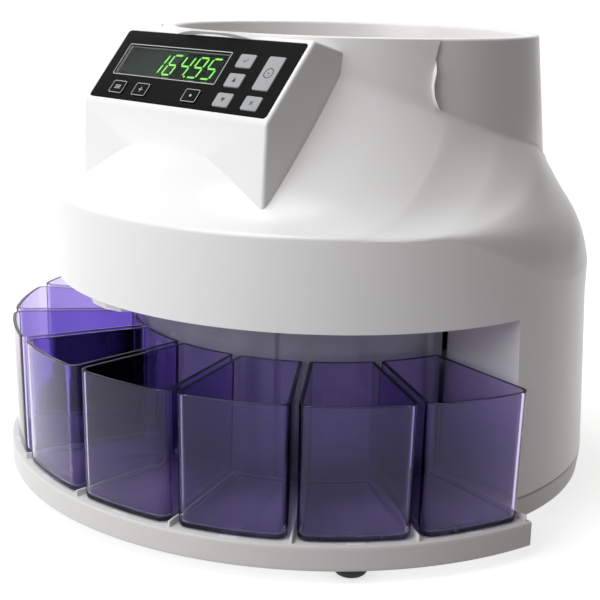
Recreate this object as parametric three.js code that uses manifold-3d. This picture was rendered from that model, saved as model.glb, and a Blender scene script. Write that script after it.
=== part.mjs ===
// Desktop coin sorting machine, as an assembly of separate pieces.
// Millimetres, +Z up, the front faces -Y, and the machine stands on z = 0.
// Bearings ("angles round the machine") are in degrees from the front, positive towards +X.
import * as THREE from 'three';
import * as BufferGeometryUtils from 'three/addons/utils/BufferGeometryUtils.js';
import Module from 'manifold-3d';

const wasm = await Module();
wasm.setup();

// ---------------------------------------------------------------- driving dimensions

const BASE_RADIUS = 180; // front apron of the base
const HOUSING_RADIUS = 151.8; // round housing above the bay
const HEEL_RADIUS = 156.1; // base under the housing's rear wall
const AXIS_Y = (BASE_RADIUS - HEEL_RADIUS) / 2; // machine axis, so that the depth is centred
const FOOT_HEIGHT = 6.4;
const BASE_TOP = 19.4;
const BASE_WALL = 3;
const APRON_HALF_ANGLE = 79.5;
const HEEL_DRAFT = 1.2; // how far the heel leans in at its foot
const SEAT_GAP = 0.3; // clearance between pieces that only rest on each other

const BIN_COUNT = 8;
const BIN_PITCH = 19.7; // degrees between neighbouring bins
const BIN_OUTER_RADIUS = 177.6;
const BIN_INNER_RADIUS = 107.4;
const BIN_TOP = 87.5;
const BIN_WALL = 2;
const BIN_SIDE_GAP = 1.7; // from the bin wall to the middle of the gap
const BIN_DRAFT = 1.2; // how far the outer wall leans in at its foot
const BIN_CORNER = 6;
const PAD = { width: 9, depth: 12, radius: 171.5, rise: 0.15 }; // locating pad under each bin

const COVER_WALL = 2.4;
const HOOD_BOTTOM = 114.4;
const SHOULDER_Z = 160.9;
const OPENING_HALF_ANGLE = 84; // bin bay, each way from the front

const RIM_Z = 249.2;
const RIM_INNER_RADIUS = 98.8;
const COLLAR_RADIUS = 106.5; // at the rim
const COLLAR_DRAFT = 0.103; // growth of the collar radius per millimetre down
const COLLAR_OFFSET = 18.2; // hopper axis behind the machine axis
const COLLAR_BOTTOM = 160;
const COLLAR_GAP = 0.45;
const HOPPER_FLAT_Y = -84.2; // the hopper is flat here, behind the console
const COLLAR_SEGMENTS = 52;
const APRON_RIM_ANGLE = 68; // the front slope hides the collar this far each way
const APRON_EDGE = 1.5; // thickness of the cover where it wraps the collar

const POD_HALF_WIDTH = 70.3;
const POD_WALL = 2.5;
const PANEL_TILT = 50; // panel slope above the horizontal
const PANEL_WIDTH = 135.5;
const PANEL_HEIGHT = 44;
const PANEL_CENTRE = new THREE.Vector3(0, -100.7, 229.5);
const PANEL_THICKNESS = 0.7;
const KEY_WIDTH = 11.2;
const KEY_DEPTH = 8.1;
const START_KEY_DEPTH = 20;
const KEY_GAP = 0.35;
const KEY_PROUD = 0.5;
const WINDOW = { u: 48.2, v: 25.4, width: 79, depth: 18 };

const DRUM_RADIUS = 104;
const DECK_BOTTOM = 117;
const DECK_THICKNESS = 3;
const COIN_HOLE_RADIUS = 126; // where the coins fall into the bins
const DISC_RADIUS = 88;
const DISC_BOTTOM = 124;
const SPINDLE_RADIUS = 5;
const PULLEY_BOTTOM = 96;
const PULLEY_HEIGHT = 8;
const BIG_PULLEY_RADIUS = 30;
const MOTOR_PULLEY_RADIUS = 10;
const MOTOR_AXIS = new THREE.Vector2(48, -32); // from the machine axis
const MOTOR_RADIUS = 20;

// ---------------------------------------------------------------- materials

function plastic(color, roughness) {
  return new THREE.MeshStandardMaterial({ color, roughness, metalness: 0 });
}

function metal(color, roughness) {
  return new THREE.MeshStandardMaterial({ color, roughness, metalness: 1 });
}

const materials = {
  shell: plastic(0xe9e9eb, 0.35),
  base: plastic(0xcfd1d1, 0.4),
  drum: plastic(0xa9abb2, 0.45),
  bin: new THREE.MeshStandardMaterial({ color: 0x5d5790, roughness: 0.08, transparent: true, opacity: 0.6 }),
  panel: plastic(0x1b1b1c, 0.5),
  key: plastic(0x9a9da0, 0.5),
  darkKey: plastic(0x222224, 0.5),
  window: plastic(0x2b3a34, 0.1),
  display: plastic(0x1c2a22, 0.3),
  rubber: plastic(0x151515, 0.9),
  blackPlastic: plastic(0x1d1d1f, 0.45),
  board: plastic(0x1f6b3c, 0.5),
  steel: metal(0xb9bcc0, 0.3),
  brass: metal(0xc8a24a, 0.35),
  motorCan: metal(0x9a9ca0, 0.35),
  orange: plastic(0xd98a2b, 0.5),
};

// ---------------------------------------------------------------- solids and booleans

const degrees = THREE.MathUtils.degToRad;

function manifoldOf(geometry) {
  const bare = geometry.clone();
  bare.deleteAttribute('normal');
  bare.deleteAttribute('uv');
  const merged = BufferGeometryUtils.mergeVertices(bare, 1e-5);
  return new wasm.Manifold(new wasm.Mesh({
    numProp: 3,
    vertProperties: new Float32Array(merged.attributes.position.array),
    triVerts: new Uint32Array(merged.index.array),
  }));
}

function geometryOf(solid) {
  const { vertProperties, triVerts } = solid.getMesh();
  const geometry = new THREE.BufferGeometry();
  geometry.setAttribute('position', new THREE.BufferAttribute(new Float32Array(vertProperties), 3));
  geometry.setIndex(new THREE.BufferAttribute(new Uint32Array(triVerts), 1));
  geometry.computeVertexNormals();
  return geometry;
}

function joined(...solids) {
  return solids.reduce((sum, next) => sum.add(next));
}

function piece(name, solid, material) {
  const mesh = new THREE.Mesh(geometryOf(solid), material);
  mesh.name = name;
  return mesh;
}

// A point at a bearing round the vertical axis through (0, centreY).
function polar(radius, bearing, z = 0, centreY = 0) {
  const angle = degrees(bearing);
  return new THREE.Vector3(radius * Math.sin(angle), centreY - radius * Math.cos(angle), z);
}

function box(width, depth, height, x = 0, y = 0, bottom = 0) {
  const geometry = new THREE.BoxGeometry(width, depth, height);
  return manifoldOf(geometry.translate(x, y, bottom + height / 2));
}

// A box standing at a radius and bearing, its depth along the radius.
function boxAt(width, depth, height, radius, bearing, bottom) {
  const geometry = new THREE.BoxGeometry(width, depth, height);
  const place = polar(radius, bearing, bottom + height / 2);
  geometry.rotateZ(degrees(bearing));
  return manifoldOf(geometry.translate(place.x, place.y, place.z));
}

// A solid of revolution about a vertical axis, from [radius, z] points that start and end on the axis
// or close on themselves.
function turned(profile, segments, x = 0, y = 0) {
  const points = profile.map(([radius, z]) => new THREE.Vector2(radius, z));
  const geometry = new THREE.LatheGeometry(points, segments);
  geometry.rotateX(Math.PI / 2);
  geometry.translate(x, y, 0);
  return outward(geometry);
}

function rod(radius, bottom, height, segments = 24, x = 0, y = 0) {
  const top = bottom + height;
  return turned([[0, bottom], [radius, bottom], [radius, top], [0, top]], segments, x, y);
}

// Turns a closed geometry's faces outwards before it becomes a solid.
function outward(geometry) {
  const solid = manifoldOf(geometry);
  if (solid.volume() > 0) {
    return solid;
  }
  const flipped = geometry.index ? geometry.clone() : BufferGeometryUtils.mergeVertices(geometry);
  flipped.index.array.reverse();
  return manifoldOf(flipped);
}

function prism(outline, bottom, top) {
  const shape = new THREE.Shape(outline.map((point) => new THREE.Vector2(point.x, point.y)));
  const geometry = new THREE.ExtrudeGeometry(shape, { depth: top - bottom, bevelEnabled: false });
  return manifoldOf(geometry.translate(0, 0, bottom));
}

// Joins rings of equal length with quads; the ends are capped, or the last ring meets the first.
function loft(rings, ringsClose = false) {
  const size = rings[0].length;
  const positions = rings.flat().flatMap((point) => [point.x, point.y, point.z]);
  const indices = [];
  const steps = ringsClose ? rings.length : rings.length - 1;
  for (let ring = 0; ring < steps; ring += 1) {
    const lower = ring * size;
    const upper = ((ring + 1) % rings.length) * size;
    for (let i = 0; i < size; i += 1) {
      const next = (i + 1) % size;
      indices.push(lower + i, lower + next, upper + next, lower + i, upper + next, upper + i);
    }
  }
  if (!ringsClose) {
    const cap = (ring, flip) => {
      const outline = rings[ring].map((point) => new THREE.Vector2(point.x, point.y));
      for (const [a, b, c] of THREE.ShapeUtils.triangulateShape(outline, [])) {
        const face = flip ? [a, c, b] : [a, b, c];
        indices.push(...face.map((corner) => ring * size + corner));
      }
    };
    cap(0, true);
    cap(rings.length - 1, false);
  }
  const geometry = new THREE.BufferGeometry();
  geometry.setAttribute('position', new THREE.Float32BufferAttribute(positions, 3));
  geometry.setIndex(indices);
  return outward(geometry);
}

// An annular sector between two radii and two bearings.
function sectorOutline(inner, outer, from, to, steps) {
  const outline = [];
  for (let i = 0; i <= steps; i += 1) {
    outline.push(polar(outer, THREE.MathUtils.lerp(from, to, i / steps)));
  }
  for (let i = steps; i >= 0; i -= 1) {
    outline.push(polar(inner, THREE.MathUtils.lerp(from, to, i / steps)));
  }
  return outline;
}

function sector(inner, outer, from, to, bottom, top, steps = 24) {
  return prism(sectorOutline(inner, outer, from, to, steps), bottom, top);
}

// A rectangle with round corners, centred on (x, y).
function roundedRectangle(width, depth, radius, x = 0, y = 0, steps = 3) {
  const outline = [];
  const corners = [[1, 1, 0], [-1, 1, 90], [-1, -1, 180], [1, -1, 270]];
  for (const [sideX, sideY, start] of corners) {
    for (let i = 0; i <= steps; i += 1) {
      const angle = degrees(start + (90 * i) / steps);
      outline.push(new THREE.Vector3(
        x + sideX * (width / 2 - radius) + radius * Math.cos(angle),
        y + sideY * (depth / 2 - radius) + radius * Math.sin(angle),
        0,
      ));
    }
  }
  return outline;
}

// ---------------------------------------------------------------- base

const binBearings = Array.from({ length: BIN_COUNT }, (_, i) => (i - (BIN_COUNT - 1) / 2) * BIN_PITCH);
const gapBearings = Array.from({ length: BIN_COUNT + 1 }, (_, i) => (i - BIN_COUNT / 2) * BIN_PITCH);

// Outline of the base: a wide round apron in front and a smaller round heel behind.
function baseOutline(z, inset, heelInset) {
  const apronSteps = 34;
  const heelSteps = 24;
  const outline = [];
  for (let i = 0; i <= apronSteps; i += 1) {
    const bearing = THREE.MathUtils.lerp(-APRON_HALF_ANGLE, APRON_HALF_ANGLE, i / apronSteps);
    outline.push(polar(BASE_RADIUS - inset, bearing, z));
  }
  for (let i = 0; i <= heelSteps; i += 1) {
    const bearing = THREE.MathUtils.lerp(APRON_HALF_ANGLE, 360 - APRON_HALF_ANGLE, i / heelSteps);
    outline.push(polar(HEEL_RADIUS - inset - heelInset, bearing, z));
  }
  return outline;
}

const FOOT_PLACES = [[168, 49], [168, -49], [132, 148], [132, -148]];
const PLATE_RADIUS = 96;
const PLATE_SCREW_RADIUS = 88;
const PLATE_SCREW_BEARINGS = [45, 135, 225, 315];

function baseTray() {
  const block = loft([
    baseOutline(FOOT_HEIGHT, 1, HEEL_DRAFT),
    baseOutline(FOOT_HEIGHT + 1, 0, HEEL_DRAFT),
    baseOutline(BASE_TOP - 1, 0, 0),
    baseOutline(BASE_TOP, 1, 0),
  ]);
  const hollow = loft([
    baseOutline(FOOT_HEIGHT - 1, BASE_WALL, HEEL_DRAFT + 1),
    baseOutline(BASE_TOP - BASE_WALL, BASE_WALL, HEEL_DRAFT),
  ]);
  const boss = (radius, [at, bearing]) => {
    const place = polar(at, bearing);
    return rod(radius, FOOT_HEIGHT + SEAT_GAP, BASE_TOP - FOOT_HEIGHT - 1, 16, place.x, place.y);
  };
  const footBosses = FOOT_PLACES.map((place) => boss(8, place));
  const fins = gapBearings.map((bearing) => boxAt(1.2, 68, 4.2, 144, bearing, BASE_TOP - 1));
  const pads = binBearings.map((bearing) => (
    boxAt(PAD.width, PAD.depth, 1 + PAD.rise, PAD.radius, bearing, BASE_TOP - 1)
  ));
  const screwBosses = PLATE_SCREW_BEARINGS.map((bearing) => {
    const place = polar(PLATE_SCREW_RADIUS, bearing);
    const post = rod(5, FOOT_HEIGHT + 3, BASE_TOP - FOOT_HEIGHT - 4, 16, place.x, place.y);
    return post.subtract(rod(1.6, FOOT_HEIGHT, 10, 12, place.x, place.y));
  });
  return joined(block.subtract(hollow), ...footBosses, ...fins, ...pads, ...screwBosses);
}

function basePlate() {
  const plate = rod(PLATE_RADIUS, FOOT_HEIGHT + 1, 1.7, 36);
  const holes = PLATE_SCREW_BEARINGS.map((bearing) => {
    const place = polar(PLATE_SCREW_RADIUS, bearing);
    return rod(1.9, FOOT_HEIGHT, 4, 8, place.x, place.y);
  });
  return plate.subtract(joined(...holes));
}

// Pan-head screw, head down, its axis at (x, y) and the underside of its head at z.
function screwUpwards(x, y, z, shankRadius, length) {
  const head = shankRadius * 2;
  return turned([
    [0, z - 1.6], [head * 0.6, z - 1.6], [head, z - 0.6], [head, z], [shankRadius, z],
    [shankRadius, z + length], [0, z + length],
  ], 12, x, y);
}

function foot([radius, bearing]) {
  const place = polar(radius, bearing);
  return turned([
    [0, 0], [7.2, 0], [8, 1], [8.6, FOOT_HEIGHT], [0, FOOT_HEIGHT],
  ], 20, place.x, place.y);
}

// ---------------------------------------------------------------- coin bins

// Outline of one bin facing the front, before it is turned to its bearing.
function binOutline(inset, draft, z) {
  const half = degrees(BIN_PITCH / 2);
  const outer = BIN_OUTER_RADIUS - inset - draft;
  const inner = BIN_INNER_RADIUS + inset + draft * 0.3;
  const side = BIN_SIDE_GAP + inset + draft * 0.2; // distance of the side wall from the gap's middle line
  const corner = BIN_CORNER - inset;
  const innerCorner = 2.6 - Math.min(inset, 1.6);
  const outline = [];
  // Bearing at which a circle of this radius meets the side wall, itself moved in by a margin.
  const bearingAt = (radius, margin) => half - Math.asin((side + margin) / radius);
  const arc = (radius, from, to, steps) => {
    for (let i = 0; i <= steps; i += 1) {
      const bearing = THREE.MathUtils.radToDeg(THREE.MathUtils.lerp(from, to, i / steps));
      outline.push(polar(radius, bearing, z));
    }
  };
  const fillet = (centreRadius, radius, mirror, from, to) => {
    const steps = 3;
    const bearing = mirror * THREE.MathUtils.radToDeg(bearingAt(centreRadius, radius));
    const centre = polar(centreRadius, bearing, z);
    for (let i = 1; i < steps; i += 1) {
      const turn = mirror * THREE.MathUtils.lerp(from, to, i / steps);
      const reach = polar(radius, bearing + turn);
      outline.push(centre.clone().add(reach));
    }
  };
  const outerEnd = bearingAt(outer - corner, corner);
  const innerEnd = bearingAt(inner + innerCorner, innerCorner);
  const cornerTurn = 90 + BIN_PITCH / 2 - THREE.MathUtils.radToDeg(outerEnd);
  const innerTurn = 90 + BIN_PITCH / 2 - THREE.MathUtils.radToDeg(innerEnd);
  const sidePoint = (centreRadius, radius, mirror) => {
    const bearing = mirror * THREE.MathUtils.radToDeg(bearingAt(centreRadius, radius));
    const normal = mirror * (90 + BIN_PITCH / 2);
    outline.push(polar(centreRadius, bearing, z).add(polar(radius, normal)));
  };
  arc(outer, -outerEnd, outerEnd, 6);
  fillet(outer - corner, corner, 1, 0, cornerTurn);
  sidePoint(outer - corner, corner, 1);
  sidePoint(inner + innerCorner, innerCorner, 1);
  fillet(inner + innerCorner, innerCorner, 1, innerTurn, 180);
  arc(inner, innerEnd, -innerEnd, 3);
  fillet(inner + innerCorner, innerCorner, -1, 180, innerTurn);
  sidePoint(inner + innerCorner, innerCorner, -1);
  sidePoint(outer - corner, corner, -1);
  fillet(outer - corner, corner, -1, cornerTurn, 0);
  return outline;
}

function coinBin() {
  const bottom = BASE_TOP + SEAT_GAP;
  return loft([
    binOutline(1.2, BIN_DRAFT, bottom),
    binOutline(0, BIN_DRAFT, bottom + 1.5),
    binOutline(0, 0, BIN_TOP),
    binOutline(BIN_WALL, 0, BIN_TOP),
    binOutline(BIN_WALL, BIN_DRAFT, bottom + BIN_WALL + 1),
    binOutline(BIN_WALL + 1.5, BIN_DRAFT, bottom + BIN_WALL),
  ]);
}

function binMesh(index) {
  const mesh = piece(`coin_bin_${index + 1}`, coinBin(), materials.bin);
  mesh.rotation.z = degrees(binBearings[index]);
  return mesh;
}

// ---------------------------------------------------------------- upper cover

// Height of the housing's sloping top at a radius from the machine axis, before its edge is rounded.
const SLOPE = [
  [84, 257], [92.2, 240.4], [102.3, 219.8], [110, 206.5], [118, 194], [126, 182.6], [134.7, 171.8],
  [143, 165], [HOUSING_RADIUS, SHOULDER_Z - 0.4],
];
// How much the rounded edge lowers the top, at a distance in from the wall. It is this large behind
// and shrinks to a narrow edge in front.
const EDGE_ROUNDING = [
  [0, 33], [1.2, 27.5], [3.6, 20], [8.6, 11.6], [18.2, 5.4], [27.8, 2], [35, 0], [42, -1.5], [68, -2],
];
const NARROW_EDGE = 0.035; // scale of the rounding in front

// Reads a table of [distance, value] rows between its rows.
function lookUp(table, distance) {
  const last = table.length - 1;
  const found = table.findIndex(([at]) => at >= distance);
  const above = found < 0 ? last : Math.max(1, found);
  const [d0, value0] = table[above - 1];
  const [d1, value1] = table[above];
  const share = Math.min(1, (distance - d0) / (d1 - d0));
  return THREE.MathUtils.lerp(value0, value1, share);
}

function heightAt(radius, rounding) {
  const fromWall = Math.max(0, HOUSING_RADIUS - radius);
  return lookUp(SLOPE, radius) - rounding * lookUp(EDGE_ROUNDING, fromWall / rounding);
}

function collarRadius(z) {
  return COLLAR_RADIUS + COLLAR_DRAFT * (RIM_Z - z);
}

// Where the sloping top meets the collar, at a bearing round the hopper axis.
function collarMeeting(bearing, rounding) {
  let z = 200;
  for (let i = 0; i < 14; i += 1) {
    const point = polar(collarRadius(z) + APRON_EDGE, bearing, z, COLLAR_OFFSET);
    z = heightAt(Math.hypot(point.x, point.y), rounding);
  }
  return polar(collarRadius(z) + APRON_EDGE, bearing, z, COLLAR_OFFSET);
}

// The creases of the flat facet that joins the front slope to the rear dome: [shoulder, collar] bearings.
const FRONT_CREASE = [48.6, 69.2];
const REAR_CREASE = [62.8, 85.9];
const DOME_BLEND_END = 102; // bearing by which the shoulder has rolled into the dome

// One half's ribs, from the front to the back: their bearings at the shoulder and at the collar, and
// how large the rounding of the edge is there. The flat facet's ribs say how far across it they are.
function coverStations() {
  const front = 9;
  const facet = 3;
  const rear = 13;
  const stations = [];
  const [shoulder0, collar0] = FRONT_CREASE;
  const [shoulder1, collar1] = REAR_CREASE;
  for (let i = 0; i < front; i += 1) {
    const t = i / (front - 1);
    const shoulder = t * (shoulder0 - 0.5);
    stations.push({ shoulder, collar: t * APRON_RIM_ANGLE, rounding: NARROW_EDGE, apron: true });
  }
  for (let i = 0; i <= facet; i += 1) {
    const t = i / facet;
    const shoulder = THREE.MathUtils.lerp(shoulder0, shoulder1, t);
    const collar = THREE.MathUtils.lerp(collar0, collar1, t);
    stations.push({ shoulder, collar, rounding: NARROW_EDGE, apron: false, across: t });
  }
  for (let i = 1; i <= rear; i += 1) {
    const t = i / rear;
    const shoulder = THREE.MathUtils.lerp(shoulder1, 180, t);
    const blend = THREE.MathUtils.smoothstep(shoulder, shoulder1, DOME_BLEND_END);
    const rounding = THREE.MathUtils.lerp(NARROW_EDGE, 1, blend);
    stations.push({ shoulder, collar: THREE.MathUtils.lerp(collar1, 180, t), rounding, apron: false });
  }
  return stations;
}

const EDGE_LEVELS = [0, 1.5, 5, 11, 20]; // distances in from the wall, at the full rounding
const SLOPE_LEVELS = [0.3, 0.62, 1]; // shares of what is left up to the collar
const COLLAR_LEVELS = 2;

const WALL_DRAFT = 0.048; // how much the wall widens for each millimetre down
const DRAFT_START_Z = 110; // the wall is upright above this

function wallRadius(z) {
  return HOUSING_RADIUS + WALL_DRAFT * Math.max(0, DRAFT_START_Z - z);
}

// The outside of the cover at one station: points from the foot of the wall up to the collar.
function plainRib(station) {
  const { shoulder, collar, rounding } = station;
  const meeting = collarMeeting(collar, rounding);
  const innerRadius = Math.hypot(meeting.x, meeting.y);
  const innerBearing = THREE.MathUtils.radToDeg(Math.atan2(meeting.x, -meeting.y));
  const points = [
    polar(wallRadius(BASE_TOP + SEAT_GAP), shoulder, BASE_TOP + SEAT_GAP),
    polar(HOUSING_RADIUS, shoulder, DRAFT_START_Z),
  ];
  const wholeWay = HOUSING_RADIUS - innerRadius;
  const edgeWidth = Math.min(EDGE_LEVELS.at(-1) * Math.max(rounding, 0.08), 0.8 * wholeWay);
  const levels = [
    ...EDGE_LEVELS.map((level) => (level / EDGE_LEVELS.at(-1)) * edgeWidth),
    ...SLOPE_LEVELS.map((share) => THREE.MathUtils.lerp(edgeWidth, wholeWay, share)),
  ];
  for (const fromWall of levels) {
    const bearing = THREE.MathUtils.lerp(shoulder, innerBearing, fromWall / wholeWay);
    points.push(polar(HOUSING_RADIUS - fromWall, bearing, heightAt(HOUSING_RADIUS - fromWall, rounding)));
  }
  const junction = points[points.length - 1];
  const rise = station.apron ? RIM_Z - 0.4 - junction.z : 1.2;
  for (let i = 1; i <= COLLAR_LEVELS; i += 1) {
    const z = junction.z + (rise * i) / COLLAR_LEVELS;
    points.push(polar(collarRadius(z) + APRON_EDGE, collar, z, COLLAR_OFFSET));
  }
  return points;
}

// Across the facet the slope is flat, while the wall below and the edge at the collar stay round.
function facetRib(station) {
  const crease = ([shoulder, collar]) => plainRib({ shoulder, collar, rounding: NARROW_EDGE, apron: false });
  const to = crease(REAR_CREASE);
  const points = crease(FRONT_CREASE).map((point, i) => point.lerp(to[i], station.across));
  const round = plainRib(station);
  const wallPoints = 3;
  const slopeEnd = points.length - COLLAR_LEVELS - 1;
  return points.map((point, i) => (i < wallPoints || i >= slopeEnd ? round[i] : point));
}

function coverRib(station, side) {
  const points = station.across === undefined ? plainRib(station) : facetRib(station);
  return points.map((point) => new THREE.Vector3(point.x * side, point.y, point.z));
}

// The inside of a rib: each outside point moved in by the wall, square to the rib.
function insideOf(rib) {
  return rib.map((point, i) => {
    const before = rib[Math.max(0, i - 1)];
    const after = rib[Math.min(rib.length - 1, i + 1)];
    const radius = Math.hypot(point.x, point.y);
    const run = Math.hypot(after.x, after.y) - Math.hypot(before.x, before.y);
    const climb = after.z - before.z;
    const length = Math.hypot(run, climb);
    const inward = Math.max(0.3, climb / length) * COVER_WALL;
    const down = i === 0 ? 0 : (-run / length) * COVER_WALL;
    const scale = (radius - inward) / radius;
    return new THREE.Vector3(point.x * scale, point.y * scale, point.z - down);
  });
}

function coverShell() {
  const half = coverStations();
  const ribs = half.map((station) => coverRib(station, 1));
  for (let i = half.length - 2; i > 0; i -= 1) {
    ribs.push(coverRib(half[i], -1));
  }
  const inner = ribs.map(insideOf);
  const count = ribs[0].length;
  const rings = [];
  for (let level = 0; level < count; level += 1) {
    rings.push(ribs.map((rib) => rib[level]));
  }
  for (let level = count - 1; level >= 0; level -= 1) {
    rings.push(inner.map((rib) => rib[level]));
  }
  return loft(rings, true);
}

// Side view of the console pod, as [y, z] points; margin shrinks it for the hollow inside.
function podPrism(margin, floor) {
  const tilt = degrees(PANEL_TILT);
  const along = new THREE.Vector2(Math.cos(tilt), Math.sin(tilt));
  const normal = new THREE.Vector2(-Math.sin(tilt), Math.cos(tilt));
  const centre = new THREE.Vector2(PANEL_CENTRE.y, PANEL_CENTRE.z).addScaledVector(normal, -margin);
  const half = PANEL_HEIGHT / 2 + 2.4 - margin;
  const low = centre.clone().addScaledVector(along, -half);
  const high = centre.clone().addScaledVector(along, half);
  const outline = [
    low, high, new THREE.Vector2(-57 + margin, 240.6 - margin * 1.3), new THREE.Vector2(-57 + margin, floor),
    new THREE.Vector2(low.x - 2.5, floor),
  ];
  const shape = new THREE.Shape(outline);
  const width = 2 * (POD_HALF_WIDTH - margin);
  const geometry = new THREE.ExtrudeGeometry(shape, { depth: width, bevelEnabled: false });
  geometry.rotateX(Math.PI / 2);
  geometry.rotateZ(Math.PI / 2);
  return manifoldOf(geometry.translate(-width / 2, 0, 0));
}

// The keys and the display window, as centres and sizes on the panel (u right, v up its slope).
const KEY_COLUMN_A = 101.3;
const KEY_COLUMN_B = 121.4;
const KEYS = [
  { name: 'key_enter', u: KEY_COLUMN_A, v: 30.8, depth: KEY_DEPTH, material: 'key' },
  { name: 'key_up', u: KEY_COLUMN_A, v: 19, depth: KEY_DEPTH, material: 'key' },
  { name: 'key_down', u: KEY_COLUMN_A, v: 7.1, depth: KEY_DEPTH, material: 'key' },
  { name: 'key_start_stop', u: KEY_COLUMN_B, v: 24.9, depth: START_KEY_DEPTH, material: 'key' },
  { name: 'key_clear', u: KEY_COLUMN_B, v: 7.1, depth: KEY_DEPTH, material: 'key' },
  { name: 'key_report', u: 19.2, v: 7.2, depth: KEY_DEPTH, material: 'darkKey' },
  { name: 'key_add', u: 38.2, v: 7.2, depth: KEY_DEPTH, material: 'darkKey' },
  { name: 'key_set', u: 77.5, v: 7.2, depth: KEY_DEPTH, material: 'darkKey' },
];

// A block on the panel, between two depths below its face, with round corners.
function panelBlock(width, depth, u, v, low, high, radius = 1) {
  const outline = roundedRectangle(width, depth, radius, u - PANEL_WIDTH / 2, v - PANEL_HEIGHT / 2, 2);
  return prism(outline, low, high);
}

function panelCuts(gap, low, high) {
  const keys = KEYS.map((key) => (
    panelBlock(KEY_WIDTH + gap * 2, key.depth + gap * 2, key.u, key.v, low, high)
  ));
  const window = panelBlock(WINDOW.width + gap * 2, WINDOW.depth + gap * 2, WINDOW.u, WINDOW.v, low, high);
  return joined(...keys, window);
}

function toPanelPlace(solid) {
  const geometry = geometryOf(solid);
  geometry.rotateX(degrees(PANEL_TILT));
  geometry.translate(PANEL_CENTRE.x, PANEL_CENTRE.y, PANEL_CENTRE.z);
  return manifoldOf(geometry);
}

const RECESS = 1;

function panelOpening() {
  const recess = panelBlock(
    PANEL_WIDTH + 0.6, PANEL_HEIGHT + 0.6, PANEL_WIDTH / 2, PANEL_HEIGHT / 2, -RECESS, 8, 2.2,
  );
  return toPanelPlace(joined(recess, panelCuts(KEY_GAP, -POD_WALL - 4, 8)));
}

// Upright returns that close the housing on each side of the bin bay.
function bayJamb(side) {
  const bearing = side * (OPENING_HALF_ANGLE + 0.6);
  const along = polar(1, bearing + 90);
  const halfThickness = 1.1;
  const ring = (z) => {
    const inner = DRUM_RADIUS - 1;
    const outer = wallRadius(z) - COVER_WALL + 1;
    const corners = [[outer, -1], [outer, 1], [inner, 1], [inner, -1]];
    return corners.map(([radius, way]) => (
      polar(radius, bearing, z).addScaledVector(along, way * halfThickness)
    ));
  };
  return loft([ring(BASE_TOP + SEAT_GAP), ring(HOOD_BOTTOM + 1)]);
}

const PORT_WINDOW = { width: 84, height: 32, bottom: 34 };

function portWindowCut() {
  return box(PORT_WINDOW.width, 30, PORT_WINDOW.height, 0, HOUSING_RADIUS, PORT_WINDOW.bottom);
}

// Air slots low in the rear wall, beside the ports.
function airSlots() {
  const slots = [];
  for (const side of [-1, 1]) {
    for (let i = 0; i < 6; i += 1) {
      slots.push(boxAt(3, 20, 26, HOUSING_RADIUS, side * (124 + i * 3.4), 38));
    }
  }
  return joined(...slots);
}

function upperCover() {
  const binBay = sector(
    0.5, BASE_RADIUS, -OPENING_HALF_ANGLE, OPENING_HALF_ANGLE, 0, HOOD_BOTTOM, 32,
  );
  const podSolid = podPrism(0, 150);
  const podHollow = podPrism(POD_WALL, 150);
  const underPod = rod(HOUSING_RADIUS - COVER_WALL - 0.4, 100, 200, 72);
  const shell = coverShell().subtract(binBay);
  const outerBody = joined(shell, podSolid.subtract(podHollow).intersect(underPod));
  const jambs = joined(bayJamb(-1), bayJamb(1));
  return joined(outerBody.subtract(podHollow), jambs)
    .subtract(insideTrim())
    .subtract(collarClearance())
    .subtract(panelOpening())
    .subtract(portWindowCut())
    .subtract(airSlots());
}

// The room for the hopper's collar, flat behind the console.
function collarClearance() {
  const top = RIM_Z + 20;
  const bottom = 120;
  const cone = turned([
    [0, bottom], [collarRadius(bottom) + COLLAR_GAP, bottom], [collarRadius(top) + COLLAR_GAP, top], [0, top],
  ], COLLAR_SEGMENTS, 0, COLLAR_OFFSET);
  return cone.subtract(frontOf(HOPPER_FLAT_Y - COLLAR_GAP));
}

// Everything in front of a plane across the machine.
function frontOf(y) {
  const depth = 100;
  return box(400, depth, 400, 0, y - depth / 2, 0);
}

// The room inside the front slope, which keeps the pod's walls from hanging down inside it.
function insideTrim() {
  const profile = SLOPE.map(([radius, z]) => [radius - 2, z - 3.4]).reverse();
  const top = profile[profile.length - 1][1];
  return turned([[0, 100], [HOUSING_RADIUS - 3.4, 100], ...profile, [0, top]], 72)
    .intersect(sector(0.5, HOUSING_RADIUS - 3, -60, 60, 121, 300, 40));
}

// ---------------------------------------------------------------- hopper

function hopper() {
  const skirtWall = 2.2;
  const bowlWall = 2.2;
  const lip = RIM_Z;
  const bowl = [
    [RIM_INNER_RADIUS, lip - 1.2], [95, 200], [90, 172], [82, 150], [78, 138],
  ];
  const bowlBack = bowl.slice(1).reverse().map(([radius, z]) => [radius + bowlWall, z + 0.4]);
  const outline = [
    [collarRadius(COLLAR_BOTTOM), COLLAR_BOTTOM],
    [collarRadius(lip - 3), lip - 3],
    [COLLAR_RADIUS - 0.9, lip - 0.8],
    [COLLAR_RADIUS - 2.6, lip],
    [RIM_INNER_RADIUS + 1.4, lip],
    ...bowl,
    ...bowlBack,
    [RIM_INNER_RADIUS + bowlWall, lip - 6],
    [collarRadius(lip - 6) - skirtWall, lip - 6],
    [collarRadius(COLLAR_BOTTOM) - skirtWall, COLLAR_BOTTOM],
    [collarRadius(COLLAR_BOTTOM), COLLAR_BOTTOM],
  ];
  return turned(outline, COLLAR_SEGMENTS, 0, COLLAR_OFFSET).subtract(frontOf(HOPPER_FLAT_Y));
}

// ---------------------------------------------------------------- drum, deck and chutes

function innerDrum() {
  const top = DECK_BOTTOM - SEAT_GAP;
  const wall = sector(DRUM_RADIUS - 2.4, DRUM_RADIUS, -81.5, 81.5, BASE_TOP + SEAT_GAP, top, 32);
  const grooves = [-76, -31, 31, 76].map((bearing) => boxAt(1.4, 2, 120, DRUM_RADIUS + 0.2, bearing, 15));
  return wall.subtract(joined(...grooves));
}

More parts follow.
